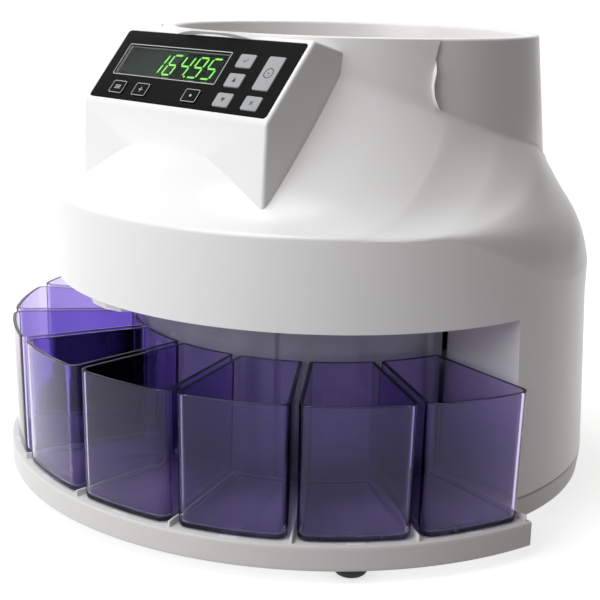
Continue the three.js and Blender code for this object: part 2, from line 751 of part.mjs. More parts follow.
// Coin openings grow from one end of the row to the other.
const SMALLEST_COIN = 16.5;
const LARGEST_COIN = 27;

function coinHole(index, bottom, height, margin) {
  const diameter = THREE.MathUtils.lerp(SMALLEST_COIN, LARGEST_COIN, index / (BIN_COUNT - 1));
  return boxAt(diameter + margin, diameter + margin, height, COIN_HOLE_RADIUS, binBearings[index], bottom);
}

function sortingDeck() {
  const plate = rod(146, DECK_BOTTOM, DECK_THICKNESS, 48);
  const holes = binBearings.map((_, i) => coinHole(i, DECK_BOTTOM - 2, 10, 0));
  const spindleHole = rod(SPINDLE_RADIUS + 6.2, DECK_BOTTOM - 2, 10, 24, 0, COLLAR_OFFSET);
  return plate.subtract(joined(...holes, spindleHole));
}

const LONG_SPOUTS = [2, 3]; // these hang below the edge of the hood

// A ring of open spouts under the deck, one over each bin.
function coinChutes() {
  const top = DECK_BOTTOM - SEAT_GAP;
  const flange = sector(DRUM_RADIUS + 1, 146, -80, 80, top - 2, top, 28);
  const spouts = [];
  const bores = [];
  for (let i = 0; i < BIN_COUNT; i += 1) {
    const spout = roundedRectangle(40, 34, 13, 0, -128, 2);
    const bore = roundedRectangle(36, 30, 11, 0, -128, 2);
    const drop = LONG_SPOUTS.includes(i) ? 8.5 : 3.4;
    spouts.push(turnedTo(prism(spout, top - drop, top), binBearings[i]));
    bores.push(turnedTo(prism(bore, top - 9.5, top + 1), binBearings[i]));
  }
  return joined(flange, ...spouts).subtract(joined(...bores));
}

function turnedTo(solid, bearing) {
  const geometry = geometryOf(solid);
  geometry.rotateZ(degrees(bearing));
  return manifoldOf(geometry);
}

// The curved rail that keeps the coins over their openings, with a flange to stand on.
function coinRail() {
  const bottom = DECK_BOTTOM + DECK_THICKNESS + SEAT_GAP;
  const wall = sector(140.5, 142.5, -82, 82, bottom, bottom + 12, 28);
  const flange = sector(140.5, 145, -82, 82, bottom, bottom + 1.5, 28);
  return joined(wall, flange);
}

function coinSensor() {
  const bottom = DECK_BOTTOM + DECK_THICKNESS + SEAT_GAP;
  const foot = boxAt(18, 10, 3, 131, -84, bottom);
  const post = boxAt(18, 4, 16, 134, -84, bottom);
  const head = boxAt(18, 12, 5, 130, -84, bottom + 11);
  return joined(foot, post, head);
}

// ---------------------------------------------------------------- feed disc and its drive

function feedDisc() {
  const top = DISC_BOTTOM + 3;
  const disc = turned([
    [SPINDLE_RADIUS + SEAT_GAP, DISC_BOTTOM], [DISC_RADIUS, DISC_BOTTOM], [DISC_RADIUS, top],
    [DISC_RADIUS - 4, top + 1], [DISC_RADIUS - 8, top], [14, top], [12, top + 4],
    [SPINDLE_RADIUS + SEAT_GAP, top + 4], [SPINDLE_RADIUS + SEAT_GAP, DISC_BOTTOM],
  ], 40, 0, COLLAR_OFFSET);
  const pegs = [];
  for (let i = 0; i < 6; i += 1) {
    const place = polar(62, i * 60 + 15, 0, COLLAR_OFFSET);
    pegs.push(rod(4, top - 1, 6, 10, place.x, place.y));
  }
  return joined(disc, ...pegs);
}

function hubCap() {
  const base = DISC_BOTTOM + 7 + SEAT_GAP;
  return turned([
    [0, base], [15, base], [15, base + 3], [12, base + 9], [7, base + 13], [0, base + 14.5],
  ], 32, 0, COLLAR_OFFSET);
}

function spindle() {
  return turned([
    [0, 88], [SPINDLE_RADIUS - 1, 88], [SPINDLE_RADIUS, 89],
    [SPINDLE_RADIUS, DISC_BOTTOM + 7], [0, DISC_BOTTOM + 7],
  ], 24, 0, COLLAR_OFFSET);
}

function ring(inner, outer, bottom, height, segments = 24) {
  return turned([
    [inner, bottom], [outer, bottom], [outer, bottom + height], [inner, bottom + height], [inner, bottom],
  ], segments, 0, COLLAR_OFFSET);
}

const BEARING_OUTER = 11;
const BEARING_HEIGHT = 5;
const BLOCK_BOTTOM = 106;

function bearing(bottom) {
  return ring(SPINDLE_RADIUS + SEAT_GAP, BEARING_OUTER, bottom, BEARING_HEIGHT);
}

// The bearing block hangs under the deck and holds both bearings.
function bearingBlock() {
  const top = DECK_BOTTOM - SEAT_GAP;
  const body = ring(BEARING_OUTER + SEAT_GAP, 17, BLOCK_BOTTOM, top - BLOCK_BOTTOM);
  const flange = ring(BEARING_OUTER + SEAT_GAP, 28, top - 3, 3);
  const lip = ring(SPINDLE_RADIUS + 2, BEARING_OUTER + 1, BLOCK_BOTTOM + BEARING_HEIGHT + SEAT_GAP, 0.6);
  return joined(body, flange, lip);
}

// A pulley with a flange above and below its belt track.
function pulleyProfile(bore, track, bottom) {
  const top = bottom + PULLEY_HEIGHT;
  return [
    [bore, bottom], [track + 1.5, bottom], [track + 1.5, bottom + 1], [track, bottom + 1.2],
    [track, top - 1.2], [track + 1.5, top - 1], [track + 1.5, top], [bore, top], [bore, bottom],
  ];
}

function spindlePulley() {
  const profile = pulleyProfile(SPINDLE_RADIUS + SEAT_GAP, BIG_PULLEY_RADIUS, PULLEY_BOTTOM);
  const body = turned(profile, 32, 0, COLLAR_OFFSET);
  const windows = [0, 90, 180, 270].map((angle) => {
    const place = polar(17.5, angle, 0, COLLAR_OFFSET);
    return rod(6, PULLEY_BOTTOM - 1, PULLEY_HEIGHT + 2, 10, place.x, place.y);
  });
  return body.subtract(joined(...windows));
}

function motorPulley() {
  const profile = pulleyProfile(2.3, MOTOR_PULLEY_RADIUS, PULLEY_BOTTOM);
  return turned(profile, 20, MOTOR_AXIS.x, MOTOR_AXIS.y);
}

// Belt outline: the two pulley tracks joined by their outer tangents.
function beltOutline(offset) {
  const big = BIG_PULLEY_RADIUS + offset;
  const small = MOTOR_PULLEY_RADIUS + offset;
  const centre = new THREE.Vector2(0, COLLAR_OFFSET);
  const reach = MOTOR_AXIS.clone().sub(centre);
  const heading = reach.angle();
  const spread = Math.acos((big - small) / reach.length());
  const outline = [];
  const arc = (middle, radius, from, to, steps) => {
    for (let i = 0; i <= steps; i += 1) {
      const angle = THREE.MathUtils.lerp(from, to, i / steps);
      const spoke = new THREE.Vector3(Math.cos(angle), Math.sin(angle), 0).multiplyScalar(radius);
      outline.push(spoke.add(new THREE.Vector3(middle.x, middle.y, 0)));
    }
  };
  arc(MOTOR_AXIS, small, heading - spread, heading + spread, 10);
  arc(centre, big, heading + spread, heading - spread + 2 * Math.PI, 24);
  return outline;
}

function driveBelt() {
  const bottom = PULLEY_BOTTOM + 1.6;
  const top = PULLEY_BOTTOM + PULLEY_HEIGHT - 1.6;
  return prism(beltOutline(1.4), bottom, top).subtract(prism(beltOutline(SEAT_GAP), bottom - 1, top + 1));
}

const MOTOR_TOP = 88;

// A motor can with its gearbox nose.
function motor() {
  return turned([
    [0, 34], [5, 34], [5, 37], [MOTOR_RADIUS - 1, 37], [MOTOR_RADIUS, 38], [MOTOR_RADIUS, MOTOR_TOP - 1],
    [MOTOR_RADIUS - 1, MOTOR_TOP], [7, MOTOR_TOP], [7, MOTOR_TOP + 2], [0, MOTOR_TOP + 2],
  ], 24, MOTOR_AXIS.x, MOTOR_AXIS.y);
}

function motorShaft() {
  const length = PULLEY_BOTTOM + PULLEY_HEIGHT - MOTOR_TOP;
  return rod(2, MOTOR_TOP + 2 + SEAT_GAP, length, 16, MOTOR_AXIS.x, MOTOR_AXIS.y);
}

// A folded plate that holds the motor under the deck, its two legs reaching up to the deck.
function motorBracket() {
  const { x, y } = MOTOR_AXIS;
  const plateBottom = MOTOR_TOP + SEAT_GAP;
  const top = DECK_BOTTOM - SEAT_GAP;
  const plate = box(30, 62, 2, x, y, plateBottom);
  const legs = [-1, 1].map((side) => box(30, 2, top - plateBottom, x, y + side * 30, plateBottom));
  const tabs = [-1, 1].map((side) => box(30, 8, 2, x, y + side * 33, top - 2));
  const beltWay = box(60, 70, PULLEY_HEIGHT + 6, x - 30, y + 36, PULLEY_BOTTOM - 3);
  return joined(plate, ...legs, ...tabs)
    .subtract(rod(7.4, plateBottom - 1, 6, 24, x, y))
    .subtract(beltWay.intersect(box(16, 80, 60, x - 7, y + 30, 60)));
}

// ---------------------------------------------------------------- electronics and rear ports

function mainBoard() {
  const bottom = BASE_TOP + 6;
  const top = bottom + 1.6;
  const board = box(104, 64, 1.6, -14, -34, bottom);
  const parts = [
    box(26, 14, 9, -50, -18, top - 0.2),
    box(18, 18, 3, -20, -34, top - 0.2),
    box(12, 26, 14, -56, -46, top - 0.2),
    box(30, 8, 7, 4, -60, top - 0.2), rod(5, top - 0.2, 14, 16, 2, -24), rod(5, top - 0.2, 14, 16, 15, -24),
    rod(4, top - 0.2, 10, 16, 10, -40),
  ];
  const standoffs = [[-58, -60], [30, -60], [-58, -8], [30, -8]]
    .map(([x, y]) => rod(3, BASE_TOP + SEAT_GAP, 6, 12, x, y));
  return joined(board, ...parts, ...standoffs);
}

function powerSupply() {
  const bottom = BASE_TOP + SEAT_GAP;
  const core = prism(roundedRectangle(58, 46, 2, -34, 62, 2), bottom, bottom + 40);
  const coil = prism(roundedRectangle(40, 60, 6, -34, 62, 3), bottom + 5, bottom + 35);
  const feet = box(76, 14, 2, -34, 62, bottom);
  return joined(core, coil, feet);
}

const PORT_PLATE_Y = 142.5; // front of the plate, from the machine axis

function portPlate() {
  const { width, height, bottom } = PORT_WINDOW;
  const outer = box(width + 8, 24, height + 8, 0, PORT_PLATE_Y + 12, bottom - 4);
  const well = box(width + 3, 24, height + 3, 0, PORT_PLATE_Y + 2.4 + 12, bottom - 1.5);
  const trim = rod(wallRadius(bottom + height + 4) - COVER_WALL - 1, 0, 120, 72);
  const inletHole = box(28.4, 20, 20.4, -22, PORT_PLATE_Y, bottom + 5.8);
  const switchHole = box(13.4, 20, 19.4, 8, PORT_PLATE_Y, bottom + 6.3);
  const dataHole = box(16.4, 20, 13.4, 30, PORT_PLATE_Y, bottom + 9.3);
  return outer.subtract(well).intersect(trim).subtract(joined(inletHole, switchHole, dataHole));
}

// Mains inlet: a shrouded socket with three pins.
function powerInlet() {
  const { bottom } = PORT_WINDOW;
  const back = PORT_PLATE_Y + 2.4;
  const body = box(27.8, 22, 19.8, -22, back - 9, bottom + 6.1);
  const flange = box(32, 2, 24, -22, back + 1 + SEAT_GAP, bottom + 4);
  const throat = box(24, 14, 16, -22, back - 3, bottom + 8);
  const pins = [-7, 0, 7].map((x, i) => box(2, 11, 4, x - 22, back - 5, bottom + (i === 1 ? 16 : 12)));
  return joined(joined(body, flange).subtract(throat), ...pins);
}

const ROCKER_PLACE = { x: 8, y: PORT_PLATE_Y + 2.2, z: PORT_WINDOW.bottom + 16 };

function switchHousing() {
  const { bottom } = PORT_WINDOW;
  const back = PORT_PLATE_Y + 2.4;
  const body = box(12.8, 16, 18.8, ROCKER_PLACE.x, back - 6, bottom + 6.6);
  const flange = box(16, 1.6, 22.4, ROCKER_PLACE.x, back + 0.8 + SEAT_GAP, bottom + 4.8);
  const well = box(10, 14, 16.4, ROCKER_PLACE.x, back - 1, bottom + 7.8);
  return joined(body, flange).subtract(well);
}

const ROCKER_TILT = 9; // at rest the lower half is pressed in

// Rocker: a shallow V that tips about a cross pin through its middle.
function powerRocker() {
  const halfHeight = 7.2;
  const width = 9;
  const outline = [
    [4.2, -halfHeight], [3, 0], [4.2, halfHeight], [0, halfHeight], [-4, 3], [-4, -3], [0, -halfHeight],
  ].map(([y, z]) => new THREE.Vector2(y, z));
  const geometry = new THREE.ExtrudeGeometry(new THREE.Shape(outline), { depth: width, bevelEnabled: false });
  geometry.translate(0, 0, -width / 2);
  geometry.rotateX(Math.PI / 2);
  geometry.rotateZ(Math.PI / 2);
  geometry.rotateX(degrees(-ROCKER_TILT));
  geometry.translate(ROCKER_PLACE.x, ROCKER_PLACE.y, ROCKER_PLACE.z);
  return outward(geometry);
}

function dataPort() {
  const { bottom } = PORT_WINDOW;
  const back = PORT_PLATE_Y + 2.4;
  const body = box(15.8, 20, 12.8, 30, back - 8.5, bottom + 9.6);
  const throat = box(12, 14, 8.5, 30, back - 4, bottom + 11.5);
  return body.subtract(throat);
}

// ---------------------------------------------------------------- control panel

function panelOverlay() {
  const sheet = panelBlock(
    PANEL_WIDTH, PANEL_HEIGHT, PANEL_WIDTH / 2, PANEL_HEIGHT / 2, -PANEL_THICKNESS, 0, 2,
  );
  return sheet.subtract(panelCuts(KEY_GAP, -3, 3));
}

// A key cap with a stem that reaches down to its switch.
function keyCap(key) {
  const cap = panelBlock(KEY_WIDTH, key.depth, key.u, key.v, -2.4, KEY_PROUD, 0.9);
  const stem = panelBlock(3, 3, key.u, key.v, -4.6, -2.2, 0.6);
  return joined(cap, stem);
}

function displayWindow() {
  return panelBlock(WINDOW.width, WINDOW.depth, WINDOW.u, WINDOW.v, -1.2, -0.1, 0.8);
}

function displayModule() {
  const glass = panelBlock(WINDOW.width - 1, WINDOW.depth - 1, WINDOW.u, WINDOW.v, -4.2, -2, 0.6);
  const frame = panelBlock(WINDOW.width + 4, WINDOW.depth + 1.6, WINDOW.u, WINDOW.v, -5.4, -4, 0.6);
  return joined(glass, frame);
}

function panelBoard() {
  const height = 33;
  const board = panelBlock(PANEL_WIDTH - 10, height, PANEL_WIDTH / 2, 1 + height / 2, -7.6, -6, 1);
  const switches = KEYS.map((key) => panelBlock(6, 6, key.u, key.v, -6.2, -5.3, 0.8));
  return joined(board, ...switches);
}

// ---------------------------------------------------------------- assembly

const machine = new THREE.Group();
const onAxis = new THREE.Group();
onAxis.position.y = AXIS_Y;
machine.add(onAxis);

function add(name, solid, material) {
  onAxis.add(piece(name, solid, material));
}

add('base_tray', baseTray(), materials.base);
add('base_plate', basePlate(), materials.blackPlastic);
FOOT_PLACES.forEach((place, i) => add(`rubber_foot_${i + 1}`, foot(place), materials.rubber));
PLATE_SCREW_BEARINGS.forEach((angle, i) => {
  const place = polar(PLATE_SCREW_RADIUS, angle);
  add(`plate_screw_${i + 1}`, screwUpwards(place.x, place.y, FOOT_HEIGHT + 1 - 0.2, 1.4, 8), materials.steel);
});
for (let i = 0; i < BIN_COUNT; i += 1) {
  onAxis.add(binMesh(i));
}

add('upper_cover', upperCover(), materials.shell);
add('hopper', hopper(), materials.shell);
add('inner_drum', innerDrum(), materials.drum);
add('sorting_deck', sortingDeck(), materials.steel);
add('coin_chutes', coinChutes(), materials.shell);
add('coin_rail', coinRail(), materials.steel);
add('coin_sensor', coinSensor(), materials.blackPlastic);

add('feed_disc', feedDisc(), materials.orange);
add('hub_cap', hubCap(), materials.blackPlastic);
add('spindle', spindle(), materials.steel);
add('upper_bearing', bearing(BLOCK_BOTTOM + BEARING_HEIGHT + 1.2), materials.steel);
add('lower_bearing', bearing(BLOCK_BOTTOM - 0.2), materials.steel);
add('bearing_block', bearingBlock(), materials.motorCan);
add('spindle_pulley', spindlePulley(), materials.blackPlastic);
add('drive_motor', motor(), materials.motorCan);
add('motor_shaft', motorShaft(), materials.steel);
add('motor_pulley', motorPulley(), materials.brass);
add('motor_bracket', motorBracket(), materials.steel);
add('drive_belt', driveBelt(), materials.rubber);

add('main_board', mainBoard(), materials.board);
add('power_supply', powerSupply(), materials.motorCan);
add('port_plate', portPlate(), materials.blackPlastic);
add('power_inlet', powerInlet(), materials.blackPlastic);
add('switch_housing', switchHousing(), materials.blackPlastic);
add('power_rocker', powerRocker(), materials.blackPlastic);
add('data_port', dataPort(), materials.steel);

const panel = new THREE.Group();
panel.position.copy(PANEL_CENTRE);
panel.rotation.x = degrees(PANEL_TILT);
onAxis.add(panel);
panel.add(piece('panel_overlay', panelOverlay(), materials.panel));
panel.add(piece('display_window', displayWindow(), materials.window));
panel.add(piece('display_module', displayModule(), materials.display));
panel.add(piece('panel_board', panelBoard(), materials.board));
for (const key of KEYS) {
  panel.add(piece(key.name, keyCap(key), materials[key.material]));
}

export default machine;
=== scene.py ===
"""Looks of a desktop coin sorting machine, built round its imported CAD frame.

Shapes are worked out in millimetres from the machine's own axis and placed in metres in the frame.
Bearings are in degrees round the machine from its front, positive towards +X.
"""

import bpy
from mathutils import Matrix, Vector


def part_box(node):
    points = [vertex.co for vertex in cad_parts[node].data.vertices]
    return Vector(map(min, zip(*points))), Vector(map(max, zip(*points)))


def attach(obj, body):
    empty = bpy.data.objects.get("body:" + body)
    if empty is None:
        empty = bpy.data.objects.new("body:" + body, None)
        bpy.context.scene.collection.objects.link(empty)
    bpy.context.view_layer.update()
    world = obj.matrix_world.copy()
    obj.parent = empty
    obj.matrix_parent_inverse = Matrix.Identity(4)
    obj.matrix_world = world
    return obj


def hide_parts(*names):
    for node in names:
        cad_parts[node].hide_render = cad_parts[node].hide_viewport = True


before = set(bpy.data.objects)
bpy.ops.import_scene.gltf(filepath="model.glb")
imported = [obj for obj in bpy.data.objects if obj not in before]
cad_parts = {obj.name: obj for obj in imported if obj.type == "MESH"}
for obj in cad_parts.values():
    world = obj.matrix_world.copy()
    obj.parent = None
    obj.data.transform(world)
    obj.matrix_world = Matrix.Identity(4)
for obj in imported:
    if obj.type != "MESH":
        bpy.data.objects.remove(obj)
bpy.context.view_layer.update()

import math
from contextlib import contextmanager

import bmesh
import bpy
import numpy as np
from mathutils import Euler, Matrix, Vector

MM = 0.001
SCENE = bpy.context.scene

# ---------------- sizes, in millimetres

HOUSING_RADIUS = 151.8
HEEL_RADIUS = 156.1
AXIS_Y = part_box("base_tray")[1].y / MM - HEEL_RADIUS
WALL_DRAFT = 0.048  # how much the housing's wall widens for each millimetre down
DRAFT_START_Z = 110
BASE_RADIUS = 180
APRON_HALF_ANGLE = 79.5
FOOT_HEIGHT = 6.4
BASE_TOP = 19.4
HEEL_DRAFT = 1.2
BASE_WALL = 3
APRON_CORNER_EASE = 0.3  # share of the first step by which the apron's left end is drawn in
SEAT_GAP = 0.3

BIN_COUNT = 8
BIN_PITCH = 19.7
BIN_OUTER_RADIUS = 177.6
BIN_INNER_RADIUS = 107.4
BIN_TOP = 87.5
BIN_WALL = 2
BIN_SIDE_GAP = 1.7
BIN_DRAFT = 1.2
BIN_CORNER = 6
PAD = {"width": 9, "depth": 12, "radius": 171.5, "rise": 0.15}
BIN_BEARINGS = [(i - (BIN_COUNT - 1) / 2) * BIN_PITCH for i in range(BIN_COUNT)]
GAP_BEARINGS = [(i - BIN_COUNT / 2) * BIN_PITCH for i in range(BIN_COUNT + 1)]

COVER_WALL = 2.4
HOOD_BOTTOM = 114.4
SHOULDER_Z = 160.9
OPENING_HALF_ANGLE = 84
JAMB_HALF_THICKNESS = 1.1
RIM_Z = 249.2
RIM_INNER_RADIUS = 98.8
COLLAR_RADIUS = 106.5
COLLAR_DRAFT = 0.103
COLLAR_OFFSET = 18.2
COLLAR_GAP = 0.45
COLLAR_BOTTOM = 160
HOPPER_FLAT_Y = -84.2
APRON_EDGE = 1.5

POD_HALF_WIDTH = 70.3
POD_WALL = 2.5
POD_BOTTOM = 150
POD_BACK_Y = -57
POD_BACK_Z = 240.6
POD_FRONT_LEAN = 2.5
PANEL_TILT = 50
PANEL_WIDTH = 135.5
PANEL_HEIGHT = 44
PANEL_CENTRE = Vector((0, -100.7, 229.5))
PANEL_MIDDLE = (PANEL_WIDTH / 2, PANEL_HEIGHT / 2)
PANEL_THICKNESS = 0.7
PANEL_BORDER = 2.4
KEY_WIDTH = 11.2
KEY_DEPTH = 8.1
START_KEY_DEPTH = 20
KEY_GAP = 0.35
KEY_PROUD = 0.5
WINDOW = {"u": 48.2, "v": 25.4, "width": 79, "depth": 18}
KEY_COLUMN_A = 101.3
KEY_COLUMN_B = 121.4

DRUM_RADIUS = 104
DECK_BOTTOM = 117
DISC_RADIUS = 88
DISC_BOTTOM = 124

# ---------------- small helpers


def lerp(a, b, t):
    return a + (b - a) * t


def smoothstep(x, low, high):
    t = min(1, max(0, (x - low) / (high - low)))
    return t * t * (3 - 2 * t)


def polar(radius, bearing, z=0.0, centre_y=0.0):
    angle = math.radians(bearing)
    return Vector((radius * math.sin(angle), centre_y - radius * math.cos(angle), z))


def placed(point):
    """A point in machine millimetres, as metres in the frame."""
    return Vector((point[0] * MM, (point[1] + AXIS_Y) * MM, point[2] * MM))


def new_object(name, mesh, *materials):
    piece = bpy.data.objects.new(name, mesh)
    SCENE.collection.objects.link(piece)
    for material in materials:
        mesh.materials.append(material)
    return piece


def shade(piece, sharp_angle=32):
    piece.data.shade_smooth()
    piece.data.set_sharp_from_angle(angle=math.radians(sharp_angle))


@contextmanager
def editing(mesh):
    """Opens a mesh for editing, and writes the result back to it."""
    edit = bmesh.new()
    edit.from_mesh(mesh)
    yield edit
    edit.to_mesh(mesh)
    edit.free()


def mesh_piece(name, points, faces, material, sharp_angle=32):
    mesh = bpy.data.meshes.new(name)
    mesh.from_pydata([placed(point) for point in points], [], faces)
    with editing(mesh) as edit:
        bmesh.ops.remove_doubles(edit, verts=edit.verts, dist=1e-6)
        bmesh.ops.recalc_face_normals(edit, faces=edit.faces)
    piece = new_object(name, mesh, material)
    shade(piece, sharp_angle)
    return piece


def apply_modifiers(piece):
    depsgraph = bpy.context.evaluated_depsgraph_get()
    mesh = bpy.data.meshes.new_from_object(piece.evaluated_get(depsgraph))
    piece.modifiers.clear()
    piece.data = mesh


def bevel(piece, width, segments=3, angle=32):
    modifier = piece.modifiers.new("round_edges", "BEVEL")
    modifier.width = width * MM
    modifier.segments = segments
    modifier.limit_method = "ANGLE"
    modifier.angle_limit = math.radians(angle)
    apply_modifiers(piece)
    shade(piece, angle)


def boolean(piece, tool, operation="DIFFERENCE"):
    """Cuts or adds the tool, and removes it."""
    modifier = piece.modifiers.new("cut", "BOOLEAN")
    modifier.object = tool
    modifier.operation = operation
    modifier.solver = "EXACT"
    bpy.context.view_layer.update()
    apply_modifiers(piece)
    bpy.data.objects.remove(tool)


def join(name, pieces):
    """One piece made of several, each keeping its own material."""
    edit = bmesh.new()
    materials = []
    for piece in pieces:
        start = len(edit.faces)
        edit.from_mesh(piece.data)
        edit.faces.ensure_lookup_table()
        slots = []
        for material in piece.data.materials:
            if material not in materials:
                materials.append(material)
            slots.append(materials.index(material))
        for face in edit.faces[start:]:
            face.material_index = slots[face.material_index]
    mesh = bpy.data.meshes.new(name)
    edit.to_mesh(mesh)
    edit.free()
    for piece in pieces:
        bpy.data.objects.remove(piece)
    return new_object(name, mesh, *materials)


def loft(name, rings, material, rings_close=False, sharp_angle=32):
    """Joins rings of equal length with quads; the ends are capped unless the last ring meets the first."""
    size = len(rings[0])
    points = [point for ring in rings for point in ring]
    faces = []
    steps = len(rings) if rings_close else len(rings) - 1
    for ring in range(steps):
        above = (ring + 1) % len(rings)
        for i in range(size):
            j = (i + 1) % size
            faces.append((ring * size + i, ring * size + j, above * size + j, above * size + i))
    if not rings_close:
        faces.append(tuple(range(size)))
        faces.append(tuple((len(rings) - 1) * size + i for i in range(size)))
    return mesh_piece(name, points, faces, material, sharp_angle)


def rounded(profile, radius, steps=4, closed=True):
    """A profile with each corner rounded to at most this radius."""
    corners = [Vector(point) for point in profile]
    result = []
    for i, corner in enumerate(corners):
        if not closed and i in (0, len(corners) - 1):
            result.append(corner)
            continue
        before = corners[i - 1] - corner
        after = corners[(i + 1) % len(corners)] - corner
        setback = min(radius, before.length * 0.45, after.length * 0.45)
        start = corner + before.normalized() * setback
        end = corner + after.normalized() * setback
        for step in range(steps + 1):
            t = step / steps
            result.append(start * (1 - t) ** 2 + corner * 2 * t * (1 - t) + end * t * t)
    return result


def turned(name, profile, material, segments=96, x=0.0, y=0.0, corner=0.6, closed=True, sharp_angle=32):
    """A turned piece from a closed [radius, z] profile, or an open one that starts and ends on the axis."""
    outline = rounded(profile, corner, closed=closed) if corner else [Vector(point) for point in profile]
    points = []
    for i in range(segments):
        for radius, z in outline:
            points.append(polar(radius, 360 * i / segments, z) + Vector((x, y, 0)))
    count = len(outline)
    faces = []
    spans = count if closed else count - 1
    for i in range(segments):
        following = (i + 1) % segments
        for j in range(spans):
            k = (j + 1) % count
            faces.append((i * count + j, following * count + j, following * count + k, i * count + k))
    return clean(mesh_piece(name, points, faces, material, sharp_angle), sharp_angle)


def clean(piece, sharp_angle=32):
    """Merges coincident points and drops faces with no area."""
    with editing(piece.data) as edit:
        bmesh.ops.remove_doubles(edit, verts=edit.verts, dist=2e-6)
        bmesh.ops.dissolve_degenerate(edit, edges=edit.edges, dist=1e-6)
        bmesh.ops.recalc_face_normals(edit, faces=edit.faces)
    shade(piece, sharp_angle)
    return piece


def slab(name, outline, bottom, top, material, edge=0.0):
    """An upright block on an outline, with its edges rounded."""
    rings = [[(x, y, bottom) for x, y in outline], [(x, y, top) for x, y in outline]]
    piece = loft(name, rings, material)
    if edge:
        bevel(piece, edge)
    return piece


def rounded_rectangle(width, depth, radius, x=0.0, y=0.0, steps=6):
    outline = []
    for side_x, side_y, start in ((1, 1, 0), (-1, 1, 90), (-1, -1, 180), (1, -1, 270)):
        for i in range(steps + 1):
            angle = math.radians(start + 90 * i / steps)
            outline.append((
                x + side_x * (width / 2 - radius) + radius * math.cos(angle),
                y + side_y * (depth / 2 - radius) + radius * math.sin(angle),
            ))
    return outline


def turn_about_axis(piece, bearing, centre_y=0.0):
    pivot = Matrix.Translation((0, (AXIS_Y + centre_y) * MM, 0))
    piece.data.transform(pivot @ Matrix.Rotation(math.radians(bearing), 4, "Z") @ pivot.inverted())
    return piece


def stand(piece, body, slot, *nodes):
    """Puts a finished piece on its body, in place of CAD nodes."""
    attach(piece, body)
    if nodes:
        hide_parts(*nodes)
    return piece


# ---------------- camera, light and floor

VIEW_BEARING = 43.71  # the camera looks in across the right-hand front corner
VIEW_PITCH = 14.52
VIEW_ROLL = 1.43
CAMERA_PLACE = (0.4894, -0.51735, 0.2785)
LENS = 75.48

# The studio is bright to the machine's left and dark to its right.
STUDIO_LEFT = (0.99, 0.995, 1.0)
STUDIO_MIDDLE = (0.44, 0.43, 0.418)
STUDIO_RIGHT = (0.06, 0.05, 0.042)
STUDIO_LEFT_STARTS = 0.72
STUDIO_STRENGTH = 1.08
FRONT_POWER = 8
TOP_POWER = 11
LIGHT_TARGET = (0, 0, 0.13)
FLOOR_REACH = 3  # metres from the middle to the edge


def camera():
    data = bpy.data.cameras.new("camera")
    data.lens = LENS
    data.sensor_width = 36
    data.clip_start = 0.01
    viewer = bpy.data.objects.new("camera", data)
    aim = Euler((math.radians(90 - VIEW_PITCH), 0, math.radians(VIEW_BEARING))).to_matrix().to_4x4()
    roll = Matrix.Rotation(math.radians(VIEW_ROLL), 4, "Z")
    viewer.matrix_world = Matrix.Translation(CAMERA_PLACE) @ aim @ roll
    SCENE.collection.objects.link(viewer)
    SCENE.camera = viewer


def area_light(name, place, size, power):
    """A rectangular lamp aimed at the middle of the machine."""
    data = bpy.data.lights.new(name, "AREA")
    data.shape = "RECTANGLE"
    data.size, data.size_y = size
    data.energy = power
    lamp = bpy.data.objects.new(name, data)
    heading = Vector(LIGHT_TARGET) - Vector(place)
    lamp.rotation_euler = heading.to_track_quat("-Z", "Y").to_euler()
    lamp.location = place
    SCENE.collection.objects.link(lamp)


def lights():
    area_light("front_light", (0.05, -1.4, 0.75), (1.1, 0.7), FRONT_POWER)
    area_light("top_light", (-0.15, -0.55, 1.7), (0.9, 0.9), TOP_POWER)
    world = bpy.data.worlds.new("studio")
    SCENE.world = world
    world.use_nodes = True
    nodes = world.node_tree.nodes
    links = world.node_tree.links
    heading = nodes.new("ShaderNodeTexCoord")
    split = nodes.new("ShaderNodeSeparateXYZ")
    links.new(heading.outputs["Generated"], split.inputs["Vector"])
    across = nodes.new("ShaderNodeMapRange")
    across.inputs["From Min"].default_value = 1
    across.inputs["From Max"].default_value = -1
    links.new(split.outputs["X"], across.inputs["Value"])
    walls = nodes.new("ShaderNodeValToRGB")
    ramp = walls.color_ramp
    ramp.elements[0].color = (*STUDIO_RIGHT, 1)
    ramp.elements[1].color = (*STUDIO_LEFT, 1)
    ramp.elements[1].position = STUDIO_LEFT_STARTS
    middle = ramp.elements.new(0.5)
    middle.color = (*STUDIO_MIDDLE, 1)
    links.new(across.outputs["Result"], walls.inputs["Fac"])
    links.new(walls.outputs["Color"], nodes["Background"].inputs["Color"])
    nodes["Background"].inputs["Strength"].default_value = STUDIO_STRENGTH
    SCENE.view_settings.view_transform = "Standard"


def floor():
    mesh = bpy.data.meshes.new("floor")
    with editing(mesh) as edit:
        bmesh.ops.create_grid(edit, x_segments=24, y_segments=24, size=FLOOR_REACH)
    ground = new_object("floor", mesh, floor_material())
    ground.visible_diffuse = False  # its bounce would wash out the shaded side


# ---------------- materials


NOISE_LOW, NOISE_HIGH = 0.2, 0.8  # the values that noise stays between


